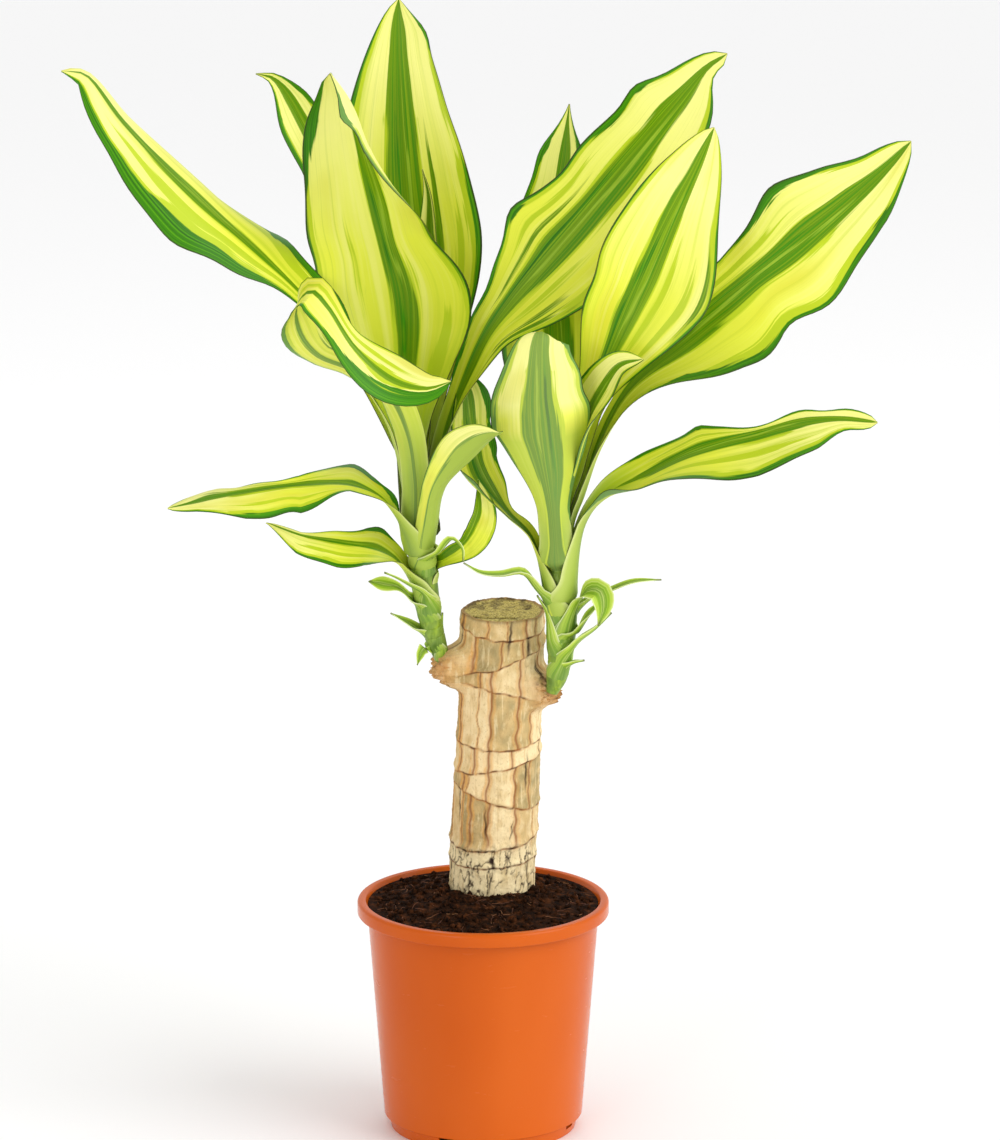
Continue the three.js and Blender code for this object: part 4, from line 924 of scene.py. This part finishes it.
# ---- leaves ----
def blade_half(leaf, share):
    """Half the width of a blade at a share of its length."""
    if share <= leaf["rise"]:
        return leaf["neck"] / 2
    if share <= leaf["widest"]:
        risen = smooth((share - leaf["rise"]) / (leaf["widest"] - leaf["rise"]))
        return mix(leaf["neck"], leaf["width"], risen) / 2
    rest = (share - leaf["widest"]) / (1 - leaf["widest"])
    return max(leaf["width"] / 2 * math.cos(math.pi / 2 * rest) ** leaf.get("point", 1), 0.35)


def stands_out(leaf, share, hand):
    """How much wider a half of the blade is at a share of its length, for the bumps of its edge."""
    return 1 + sum(gain * bell(share - at, reach)
                   for edge, at, reach, gain in leaf.get("bumps", []) if edge == hand)


def blade(shape, leaf, settings, rows, columns, slot):
    """Adds a leaf as a thin closed blade: its sheath clasps the stem, and opens into the stalk and blade.

    Returns which of its points are on the underside.
    """
    stem = STEMS[leaf["shoot"]]
    turn = math.radians(leaf["turn"])
    out = Vector((math.cos(turn), math.sin(turn), 0))
    foot, radius = stem_at(stem, leaf["height"])
    collar = stem_at(stem, leaf["height"] + leaf["sheath"])[0]
    clasp = radius + GAP + SHEATH["root"] / 2 + SHEATH["play"] + SHEATH["layer"] * leaf["layer"]
    clasp -= leaf.get("sunk", 0)
    route = Route([foot + out * clasp, collar + out * (clasp + SHEATH["spread"])] + leaf["route"])
    spans = len(leaf["route"]) + 1
    height, ripples, phase = leaf["wave"]
    upper, lower, places = [], [], []
    for row in range(rows + 1):
        share = (row / rows) ** 1.15
        at = route.at_share(share)
        centre, direction = route.point(at), route.direction(at)
        station = at * spans
        opened = smooth(station - 1)
        on_route = clamped((station - 2) / (spans - 2))
        face = (-out).lerp(Vector(along(leaf["faces"], on_route)).normalized(), opened)
        face = (face - direction * face.dot(direction)).normalized()
        side = direction.cross(face)
        dip = (clasp - radius + SHEATH["sink"]) * (1 - smooth(station / 0.5)) ** 2
        centre = centre - out * dip
        grip = mix(max(min(leaf["grip"] * 1.9, 2.7), leaf["grip"]), leaf["grip"], smooth(station / 1.1))
        fold = mix(grip, along(leaf["folds"], on_route), opened)
        fold = fold if abs(fold) > 0.02 else 0.02
        half = mix(grip * (clasp - dip), blade_half(leaf, share), opened)
        swell = height * math.sin(math.pi * clamped((share - leaf["rise"]) / (1 - leaf["rise"])))
        lean = opened * along(leaf.get("lean", [0, 0]), on_route)
        bow = half / fold
        spans_out = {hand: (1 + lean * hand) * stands_out(leaf, share, hand) for hand in (-1, 1)}
        upper_row, lower_row, place_row = [], [], []
        for column in range(columns + 1):
            across = 2 * column / columns - 1
            hand = 1 if across > 0 else -1
            angle = fold * across * spans_out[hand]
            beat = 2 * math.pi * ripples * share + phase + (RIPPLES_APART if across < 0 else 0)
            ripple = swell * (across ** 2 * math.sin(beat) + 0.16 * across ** 4 * math.sin(3.3 * beat))
            keel = -0.5 * math.exp(-((across / 0.06) ** 2)) * opened
            pleat = 0.14 * math.cos(26 * across) * (1 - across ** 2) * opened
            middle = centre + side * (bow * math.sin(angle)) + face * (bow * (1 - math.cos(angle)) + ripple)
            normal = face * math.cos(angle) - side * math.sin(angle)
            body = mix(settings.middle / MM, settings.edge / MM, abs(across) ** 1.5)
            body = mix(SHEATH["root"] * 0.8, body, opened) / 2
            upper_row.append(middle + normal * (body + keel + pleat))
            lower_row.append(middle + normal * (keel * 1.3 + pleat - body))
            place_row.append(((across + 1) / 2, share))
        upper.append(upper_row)
        lower.append(lower_row)
        places.append(place_row)
    top = shape.grid([row[::-1] for row in upper], [row[::-1] for row in places], slot, False)
    bottom = shape.grid(lower, places, slot, False)
    wide = columns + 1
    for row in range(rows):
        for edge, mate in ((0, columns), (columns, 0)):
            a, b = top + row * wide + mate, top + (row + 1) * wide + mate
            c, d = bottom + row * wide + edge, bottom + (row + 1) * wide + edge
            shape.face((a, b, d, c) if edge else (b, a, c, d), slot)
    for row, turned in ((0, True), (rows, False)):
        for column in range(columns):
            a, b = (top + row * wide + columns - column - step for step in (0, 1))
            c, d = (bottom + row * wide + column + step for step in (0, 1))
            shape.face((a, b, d, c) if turned else (b, a, c, d), slot)
    return [0.0] * (bottom - top) + [1.0] * (bottom - top)


class CORNPLANT_OT_leaves(bpy.types.Operator):
    """Makes every large leaf, with its own stripes"""

    bl_idname = "cornplant.leaves"
    bl_label = "Leaves"

    def execute(self, context):
        settings = context.scene.corn_plant_leaves
        for seed, (name, leaf) in enumerate(LEAVES.items()):
            shape = Shape()
            under = blade(shape, leaf, settings, *LEAF_GRID, 0)
            skin = leaf_skin(name + "_waxed_skin", leaf, settings, seed * 3.7)
            piece = shape.piece(name + "_blade", [skin])
            set_shade(piece.data, "under", under)
            mount(piece, "leaf", name)
        return {"FINISHED"}


class CORNPLANT_OT_stems(bpy.types.Operator):
    """Makes the two green stems with their scale leaves"""

    bl_idname = "cornplant.stems"
    bl_label = "Stems"

    def execute(self, context):
        settings = context.scene.corn_plant_leaves
        skins = [stem_skin(), scale_skin()]
        for side, stem in STEMS.items():
            shape = Shape()
            self.stalk(shape, stem)
            for scale in SCALES:
                if scale["shoot"] == side:
                    blade(shape, SCALE_COMMON | scale, settings, *SCALE_GRID, 1)
            mount(shape.piece(side + "_shoot_stem", skins), "green_stem", side + "_stem")
        return {"FINISHED"}

    def stalk(self, shape, stem):
        """The stem itself, ringed where its old leaves sat."""
        rows, sides, ring_every = 150, 40, 7.5
        rings = []
        for row in range(rows + 1):
            share = row / rows
            centre, direction = stem["axis"].point(share), stem["axis"].direction(share)
            side = (Vector((1, 0, 0)) - direction * direction.x).normalized()
            front = direction.cross(side)
            from_ring = (centre.z + 1.5 * math.sin(centre.z)) % ring_every / ring_every
            radius = along(stem["radii"], share) - 0.55 * math.exp(-(from_ring * 7) ** 2)
            rings.append([centre + (side * math.cos(turn) + front * math.sin(turn)) * radius
                          for turn in turns(sides)])
        shape.tube(rings, [[(0.5, 0.1)] * sides for _ in rings])


# ---- cane ----
def cane_centre(height):
    """The cane's axis at a height."""
    share = max((height - SOIL["mound"]) / (CANE["top"] - SOIL["mound"]), 0)
    return mix(CANE_FOOT[0], CANE_HEAD[0], share), mix(CANE_FOOT[1], CANE_HEAD[1], share)


def turned_by(turn, degrees):
    """How far a direction is from another, from -pi to pi."""
    away = turn - math.radians(degrees)
    return math.atan2(math.sin(away), math.cos(away))


class CORNPLANT_OT_cane(bpy.types.Operator):
    """Makes the sawn cane with its bark"""

    bl_idname = "cornplant.cane"
    bl_label = "Cane"

    SIDES = 280
    RINGS = 320  # of bark, from just under the soil up
    BURIED, BARK_FROM = 120, 150  # heights of a ring in the soil and of the first ring of bark

    def execute(self, context):
        settings = context.scene.corn_plant_cane
        draw = random.Random(11)
        self.cracks = [(draw.uniform(-180, 180), draw.uniform(170, 350), draw.uniform(5, 16),
                        draw.uniform(0.4, 1.0), draw.uniform(-0.15, 0.15)) for _ in range(settings.cracks)]
        self.cracks.append((-52, 341, 9, 1.3, 0.05))
        # The seams round each band of bark: direction, how wide, and the tone of the plate after it.
        self.seams = [sorted((draw.uniform(-14, 14) + 360 * plate / settings.plates, draw.uniform(0.4, 1.5),
                              draw.uniform(0, 1)) for plate in range(settings.plates))
                      for _ in range(len(SCARS) + 1)]
        shape = Shape()
        self.shades = {name: [] for name in BARK_SHADES}
        heights = [CANE["bottom"], self.BURIED, *np.linspace(self.BARK_FROM, CANE["top"], self.RINGS)]
        rings = [self.ring(height, settings.crack / MM) for height in heights]
        shape.tube(rings + self.sawn_face(rings[-1]))
        piece = shape.piece("sawn_cane", [bark(settings)])
        for name, values in self.shades.items():
            set_shade(piece.data, name, values)
        mount(piece, "cane_bark", "cane")
        return {"FINISHED"}

    def scars(self, level, turn, spot):
        """The height of the leaf scars' ridges, how near a line under one is, and how many are passed."""
        ragged = 1.5 * noise.noise(spot / 7)
        ridges, line, passed = 0.0, 0.0, 0
        for scar, rise, toward, ridge in SCARS:
            away = level + ragged - scar - rise * math.cos(turned_by(turn, toward))
            ridges += ridge * bell(away, SCAR_WIDTH)
            line = max(line, bell(away + 1.5, 0.6))
            passed += away > -1.5
        return ridges, line, passed

    def plate(self, level, turn, band, plain):
        """How far the nearest seam is, in millimetres, and the tone of the plate."""
        nearest, tone = 99.0, self.seams[band][-1][2]
        for place, wide, after in self.seams[band]:
            here = turned_by(turn, place + 4 * noise.noise(Vector((level / 9, place, band))))
            if math.degrees(turn) > place:
                tone = after
            nearest = min(nearest, abs(here) * plain / wide)
        return nearest, tone

    def crack(self, level, turn, plain):
        """How deep a crack is here, from 0 to 1."""
        deep = 0.0
        for place, height, length, width, slant in self.cracks:
            along_crack = (level - height) / length
            if abs(along_crack) < 1:
                across = turned_by(turn, place) * plain - slant * (level - height)
                across += 1.2 * noise.noise(Vector((place * 0.2, level / 5, 0)))
                deep = max(deep, bell(across, width) * (1 - along_crack ** 2))
        return deep

    def ring(self, level, depth):
        """One ring of bark, with the shades of each of its points."""
        x, y = cane_centre(level)
        points = []
        plain = mix(CANE["low_radius"], CANE["top_radius"],
                    clamped((level - SOIL["mound"]) / (CANE["top"] - SOIL["mound"])))
        leaning = math.tan(math.radians(CANE["cut_tilt"]))
        leaning *= clamped((level - CANE["tilt_from"]) / (CANE["top"] - CANE["tilt_from"]))
        low = smooth((FLAKED_BELOW - level) / FLAKED_FADE)
        for turn in turns(self.SIDES):
            spot = Vector((plain * math.cos(turn), plain * math.sin(turn), level))
            relief, line, band = self.scars(level, turn, spot)
            seam_away, tone = self.plate(level, turn, band, plain)
            crack = self.crack(level, turn, plain)
            callus, stand = 0.0, 0.0
            for toward, height, rise, wide, tall in CALLUSES:
                near = math.exp(-(turned_by(turn, toward) / wide) ** 4 - ((level - height) / tall) ** 4)
                callus = max(callus, near)
                stand += rise * near
            relief += (stand + 0.5 * math.sin(5 * turn + 0.03 * level)
                       + 0.4 * math.sin(8 * turn - 0.05 * level))
            relief *= smooth((level - CANE["scar_from"]) / 6)
            lumps = noise.turbulence(spot / 4.5, 3, True)
            flakes = noise.noise(Vector((spot.x / 4, spot.y / 4, level / 11)))
            flakes = bell(flakes + 0.3 * noise.noise(spot / 2), 0.1)
            flakes *= smooth(2 * noise.noise(spot / 7) + 0.9)
            bare = 1 - smooth(2.2 * callus)
            seam = bell(seam_away, 0.75) * bare * (1 - low)
            border = max(bell(seam_away - 1.6, 1.1), bell(line - 0.35, 0.3)) * bare * (1 - low)
            relief += (callus * 7 * (lumps - 0.5) + 0.3 * noise.noise(spot / 3)
                       + 0.25 * noise.noise(spot / 1.4))
            relief -= depth * crack + 0.4 * seam + 0.5 * line * bare + 0.8 * low * flakes
            # Painted light: the bark facing right, toward the key light, is painted paler and with fewer
            # corky borders, so the left side stays darker and more golden.
            painted_key_light = smooth(0.5 + 0.75 * math.cos(turned_by(turn, -20)))
            shades = {
                "patch": (mix(0.9 * tone + 0.22 * painted_key_light, 0.95, 0.6 * low)
                          + 0.25 * noise.noise(spot / 6)),
                "border": border * (0.9 - 0.45 * painted_key_light) + callus * 0.7,
                "seam": max(0.9 * seam, line * (0.75 + noise.noise(spot / 5)) * bare) + callus * 0.6 * lumps,
                "crack": (crack + low * flakes + callus * smooth(2.4 * lumps - 1.7)
                          + 0.8 * line * smooth(3 * noise.noise(spot / 4) + 0.3) * bare),
                "cut": 0.0,
                "stain": 0.6 * smooth((level - CANE["top"] + 2.5) / 3),
            }
            for name, value in shades.items():
                self.shades[name].append(clamped(value))
            radius = plain + relief
            back = radius * math.sin(turn)
            points.append(Vector((x + radius * math.cos(turn), y + back, level + leaning * back)))
        return points

    def sawn_face(self, rim):
        """Rings of the sawn top, from a worn rim to a slightly hollow middle with splits in it."""
        centre = sum(rim, Vector()) / len(rim)
        rows = []
        for share in (0.985, 0.965, 0.945, 0.92, *np.linspace(0.89, 0.04, 34)):
            row = []
            for point in rim:
                spot = centre + (point - centre) * share
                away = spot - centre
                grain = noise.noise(spot / 2.1) + 0.5 * noise.noise(spot / 0.9)
                bark_rim = smooth((share - 0.88) / 0.07)
                split = (abs(away.y + 15 + 0.06 * away.x + 2 * noise.noise(spot / 6))
                         + 0.5 * max(abs(away.x + 7) - 13, 0))
                split = max(bell(split, 1.7), 0.8 * bell((away - Vector((16, 8, 0))).length, 3.5))
                mould = smooth(noise.noise(spot / 5 + Vector((3, 0, 0))) * 3 - 0.2 + 0.05 * away.y)
                spot.z += 0.35 * grain - 1.1 * (1 - share ** 4) - 1.4 * split + 0.5 * bark_rim
                row.append(spot)
                shades = {
                    "patch": 0.4,
                    "border": 0.3 * bark_rim,
                    "seam": 0.4 * bark_rim,
                    "crack": split + 0.5 * mould * smooth(grain * 2),
                    "cut": 1 - bark_rim,
                    "stain": 0.5 * mould + 0.45 * bell(share - 0.93, 0.03),
                }
                for name, value in shades.items():
                    self.shades[name].append(clamped(value))
            rows.append(row)
        return rows


# ---- soil ----
def crumbled(x, y):
    """The height of the soil at a place: a mound, with lumps and crumbs that fade out towards the wall."""
    out = clamped((math.hypot(x, y) - SOIL["level"]) / (SOIL["radius"] - SOIL["level"]))
    lumps = math.sin(0.31 * x + 1) * math.sin(0.27 * y + 2) + 0.6 * math.sin(0.17 * (x + y))
    rough = 1.3 * noise.noise(Vector((x / 7, y / 7, 1))) + 0.9 * noise.noise(Vector((x / 3, y / 3, 4)))
    rough += 0.5 * abs(noise.noise(Vector((x / 1.3, y / 1.3, 8))))
    calm = 1 - out ** 6
    return mix(SOIL["mound"], SOIL["edge"], smooth(out)) + SOIL["lump"] * lumps * (1 - out) + rough * calm


class CORNPLANT_OT_soil(bpy.types.Operator):
    """Makes the soil with loose crumbs and fibres"""

    bl_idname = "cornplant.soil"
    bl_label = "Soil"

    REACH = 76  # how far from the middle of the pot loose bits lie
    CLEAR = 30.5  # how far from the cane's axis they begin

    def execute(self, context):
        settings = context.scene.corn_plant_soil
        compost = soil_finish(settings)
        mount(self.bed().piece("soil_bed", [compost]), "potting_soil", "soil")
        mount(self.crumbs(settings).piece("soil_crumbs", [compost], 80), "potting_soil")
        mount(self.fibres(settings).piece("soil_fibres", [fibre_finish()], 80), "potting_soil")
        return {"FINISHED"}

    def side(self, level):
        """The soil's radius against the pot's wall at a height."""
        share = (level - POT["step_height"]) / (POT["height"] - POT["flare"] - POT["step_height"])
        return mix(POT["step_radius"], POT["top_radius"], share) - POT["wall"] - SOIL["fit"]

    def bed(self):
        """The whole body of soil, with a hole where the cane stands."""
        sides, hole = 200, 26
        foot = POT["foot_radius"] - POT["wall"]
        step, joint = POT["step_height"] + POT["wall"], POT["height"] - POT["flare"] - 0.2
        walls = [(foot - SOIL["fit"], POT["floor"] + POT["recess"] + GAP), (foot - 0.2, step - 0.4),
                 (self.side(step), step + 0.8), (self.side(joint), joint)]
        rings = []
        edge = SOIL["radius"]
        for radius, level in walls + [(mix(edge, hole, share), None) for share in np.linspace(0, 1, 64)]:
            ring = []
            for turn in turns(sides):
                x, y = radius * math.cos(turn), radius * math.sin(turn)
                if level is None:
                    pulled = smooth((edge - radius) / 12) * smooth((edge - radius) / (edge - hole))
                    x, y = x + CANE_FOOT[0] * pulled, y + CANE_FOOT[1] * pulled
                ring.append(Vector((x, y, crumbled(x, y) if level is None else level)))
            rings.append(ring)
        shape = Shape()
        shape.tube(rings)
        return shape

    def is_open(self, x, y, play):
        """Whether a place on the soil is clear of the cane and the wall, with some play."""
        from_cane = math.hypot(x - CANE_FOOT[0], y - CANE_FOOT[1])
        return math.hypot(x, y) <= self.REACH - play and from_cane >= self.CLEAR + 2 * play

    def spot(self, draw):
        """A place on the soil clear of the cane and the wall."""
        while True:
            x, y = draw.uniform(-self.REACH, self.REACH), draw.uniform(-self.REACH, self.REACH)
            if self.is_open(x, y, 0.5):
                return x, y

    def crumbs(self, settings):
        """Loose crumbs, each an uneven lump."""
        draw = random.Random(5)
        ball = bmesh.new()
        bmesh.ops.create_icosphere(ball, subdivisions=1, radius=1)
        corners = [vert.co.copy() for vert in ball.verts]
        faces = [[vert.index for vert in face.verts] for face in ball.faces]
        ball.free()
        shape = Shape()
        for _ in range(settings.crumbs):
            x, y = self.spot(draw)
            size = settings.crumb / MM * draw.choice((0.5, 0.6, 0.8, 1.0, 1.5))
            centre = Vector((x, y, crumbled(x, y) + 0.25 * size))
            stretch = Vector([draw.uniform(0.6, 1.3) for _ in range(3)])
            first = len(shape.points)
            for corner in corners:
                uneven = 1 + 0.5 * noise.noise(corner * 1.7 + centre)
                shape.points.append(centre + corner * stretch * (size * uneven))
            for face in faces:
                shape.face(tuple(first + index for index in face), 0)
        return shape

    def fibres(self, settings):
        """Loose fibres, each a thin bent thread."""
        draw = random.Random(9)
        shape = Shape()
        for _ in range(settings.fibres):
            x, y = self.spot(draw)
            turn, bend = draw.uniform(0, math.tau), draw.uniform(-0.12, 0.12)
            thick = draw.uniform(0.18, 0.4)
            rings = []
            for _ in range(draw.randint(6, 12)):
                if not self.is_open(x, y, 0):
                    break
                centre = Vector((x, y, crumbled(x, y) + 0.5))
                side = Vector((-math.sin(turn), math.cos(turn), 0)) * thick
                rings.append([centre + side, centre + Vector((0, 0, thick)), centre - side])
                x, y, turn = x + 1.3 * math.cos(turn), y + 1.3 * math.sin(turn), turn + bend
            if len(rings) > 2:
                shape.tube(rings)
        return shape


# ---- pot ----
def pot_profile():
    """The pot's section from the middle of its base, up its outside, over the lip and down inside."""
    height, wall, recess, level = POT["height"], POT["wall"], POT["recess"], POT["step_height"]
    lip, top, step, foot = (POT[part + "_radius"] for part in ("lip", "top", "step", "foot"))
    under, joint = height - POT["collar"], height - POT["flare"]
    lip_inside, foot_inside, skirt_inside = lip - POT["bead"], foot - wall, lip - POT["skirt"]
    rolled = [(lip - 2.2 + 2.2 * math.cos(turn), height - 2.2 + 2.2 * math.sin(turn))
              for turn in np.linspace(0, math.pi / 2, 7)]
    tucked = [(lip - 1 + math.cos(turn), under + 1 + math.sin(turn))
              for turn in np.linspace(-math.pi / 2, 0, 5)]
    return [
        (0, 0), (18, 0), (20, recess), (48, recess), (50, 0), (foot - 0.8, 0), (foot - 0.2, 0.3), (foot, 1),
        (foot + 1, level - 1.2), (foot + 2, level - 0.5), (step - 0.8, level - 0.1), (step, level + 0.5),
        (top, joint), (skirt_inside, joint), (skirt_inside, under),
        *tucked, *rolled,
        (lip_inside, height), (lip_inside - 0.5, height - 0.2), (lip_inside - 0.9, height - 0.7),
        (lip_inside - 1.2, height - 1.5), (top - wall, joint),
        (step - wall, level + wall), (foot_inside + 0.8, level + wall - 1),
        (foot_inside, POT["floor"] + recess), (0, POT["floor"] + recess),
    ]


class CORNPLANT_OT_pot(bpy.types.Operator):
    """Makes the nursery pot"""

    bl_idname = "cornplant.pot"
    bl_label = "Pot"

    SIDES = 256
    CREASE = 35  # degrees from which an edge is sharp

    def execute(self, context):
        settings = context.scene.corn_plant_pot
        shape = Shape()
        shape.tube([[Vector((radius * math.cos(turn), radius * math.sin(turn), height))
                     for turn in turns(self.SIDES)] for radius, height in pot_profile()[1:-1]])
        piece = shape.piece("nursery_pot", [pot_plastic(settings)], self.CREASE)
        self.cut_slots(piece)
        mount(piece, "pot_plastic", "pot")
        return {"FINISHED"}

    def cut_slots(self, piece):
        """Cuts the drain slots through the foot."""
        cutter = Shape()
        low, high, half = SLOTS["low"], SLOTS["high"], SLOTS["width"] / 2
        for index in range(SLOTS["count"]):
            turn = math.radians(SLOTS["first"] + index * 360 / SLOTS["count"])
            out = Vector((math.cos(turn), math.sin(turn), 0))
            side = Vector((-math.sin(turn), math.cos(turn), 0))
            first = len(cutter.points)
            for reach in (SLOTS["from"], SLOTS["to"]):
                for across, level in ((-half, low), (half, low), (half, high), (-half, high)):
                    cutter.points.append(out * reach + side * across + Vector((0, 0, level)))
            for corners in ((0, 3, 2, 1), (4, 5, 6, 7), (0, 1, 5, 4), (1, 2, 6, 5), (2, 3, 7, 6),
                            (3, 0, 4, 7)):
                cutter.face(tuple(first + corner for corner in corners), 0)
        blocks = cutter.piece("slot_blocks", [])
        modifier = piece.modifiers.new("slots", "BOOLEAN")
        modifier.object, modifier.operation, modifier.solver = blocks, "DIFFERENCE", "EXACT"
        context = bpy.context.evaluated_depsgraph_get()
        cut = bpy.data.meshes.new_from_object(piece.evaluated_get(context))
        piece.modifiers.clear()
        piece.data = cut
        cut.set_sharp_from_angle(angle=math.radians(self.CREASE))
        bpy.data.objects.remove(blocks)


# ---- stage ----
class CORNPLANT_OT_stage(bpy.types.Operator):
    """Makes the floor, the lights and the camera"""

    bl_idname = "cornplant.stage"
    bl_label = "Stage"

    def execute(self, context):
        settings = context.scene.corn_plant_stage
        self.floor(settings)
        world = bpy.data.worlds.new("studio")
        world.use_nodes = True
        background = world.node_tree.nodes["Background"]
        background.inputs["Color"].default_value = (1, 1, 1, 1)
        background.inputs["Strength"].default_value = 0.74
        context.scene.world = world
        target = Vector(settings.target)
        self.sun(target, (4.0, -2.0, 2.9), 1.45)
        self.softbox("key", (2.2, -1.3, 0.9), target, (1.6, 2.0), 5)
        self.softbox("fill", (-2.2, -2.9, 0.9), target, (1.8, 1.8), 14)
        self.softbox("strip", (-1.05, -2.3, 0.5), target, (0.35, 1.4), 6)
        self.softbox("back", (0.3, 1.7, 2.1), target, (1.6, 0.9), 8)
        self.camera(context.scene, settings)
        context.scene.view_settings.view_transform = "Standard"
        return {"FINISHED"}

    def floor(self, settings):
        """A plain pale floor."""
        half = settings.floor / 2 / MM
        shape = Shape()
        shape.points = [Vector((x * half, y * half, 0)) for x, y in ((-1, -1), (1, -1), (1, 1), (-1, 1))]
        shape.face((0, 1, 2, 3), 0)
        paint, _, shader = finish("matt_floor_paint", 0.7, 1.45)
        shader.inputs["Base Color"].default_value = tuple(settings.pale)
        shape.piece("floor", [paint])

    def sun(self, target, place, strength):
        """A broad even light that also reaches the far floor."""
        light = bpy.data.lights.new("sun", "SUN")
        light.energy, light.angle = strength, math.radians(50)
        self.aim(bpy.data.objects.new("sun", light), place, target)

    def softbox(self, name, place, target, size, power):
        """A large soft light that looks at the plant."""
        light = bpy.data.lights.new(name, "AREA")
        light.shape, light.size, light.size_y, light.energy = "RECTANGLE", *size, power
        self.aim(bpy.data.objects.new(name, light), place, target)

    def aim(self, lamp, place, target):
        """Sets a lamp up so that it looks at the target."""
        lamp.location = place
        lamp.rotation_euler = (target - Vector(place)).to_track_quat("-Z", "Y").to_euler()
        bpy.context.scene.collection.objects.link(lamp)

    def camera(self, scene, settings):
        """The camera at the photograph's angle."""
        view = bpy.data.cameras.new("camera")
        view.sensor_fit, view.sensor_height = "VERTICAL", 36
        view.lens = view.sensor_height * settings.distance / settings.frame_height
        view.clip_end = 40
        camera = bpy.data.objects.new("camera", view)
        back = Vector((0, -math.cos(settings.elevation), math.sin(settings.elevation)))
        camera.location = Vector(settings.target) + back * settings.distance
        camera.rotation_euler = (math.pi / 2 - settings.elevation, 0, 0)
        scene.collection.objects.link(camera)
        scene.camera = camera


class CORNPLANT_PT_panel(bpy.types.Panel):
    """The corn plant's sizes, colours and pieces"""

    bl_label = "Corn plant"
    bl_space_type = "VIEW_3D"
    bl_region_type = "UI"
    bl_category = "Corn plant"

    def draw(self, context):
        for operator, _, pointer in STEPS:
            box = self.layout.box()
            box.operator(operator.bl_idname)
            settings = getattr(context.scene, pointer)
            for name in settings.bl_rna.properties.keys():
                if name not in ("rna_type", "name"):
                    box.prop(settings, name)


# Each piece's operator, its settings and where the scene keeps them, in the order they are made.
STEPS = [
    (CORNPLANT_OT_stage, StageSettings, "corn_plant_stage"),
    (CORNPLANT_OT_pot, PotSettings, "corn_plant_pot"),
    (CORNPLANT_OT_soil, SoilSettings, "corn_plant_soil"),
    (CORNPLANT_OT_cane, CaneSettings, "corn_plant_cane"),
    (CORNPLANT_OT_stems, LeafSettings, "corn_plant_leaves"),
    (CORNPLANT_OT_leaves, LeafSettings, "corn_plant_leaves"),
]


def register():
    """Registers the classes and keeps their settings on the scene."""
    for group in dict.fromkeys(settings for _, settings, _ in STEPS):
        bpy.utils.register_class(group)
    for operator, settings, pointer in STEPS:
        bpy.utils.register_class(operator)
        setattr(bpy.types.Scene, pointer, bpy.props.PointerProperty(type=settings))
    bpy.utils.register_class(CORNPLANT_PT_panel)


def unregister():
    """Removes the classes and their settings."""
    bpy.utils.unregister_class(CORNPLANT_PT_panel)
    for pointer in dict.fromkeys(pointer for _, _, pointer in STEPS):
        delattr(bpy.types.Scene, pointer)
    for operator, _, _ in STEPS:
        bpy.utils.unregister_class(operator)
    for group in dict.fromkeys(settings for _, settings, _ in STEPS):
        bpy.utils.unregister_class(group)


def main():
    """Makes the whole plant."""
    register()
    bpy.ops.cornplant.stage()
    bpy.ops.cornplant.pot()
    bpy.ops.cornplant.soil()
    bpy.ops.cornplant.cane()
    bpy.ops.cornplant.stems()
    bpy.ops.cornplant.leaves()


if __name__ == "__main__":
    main()
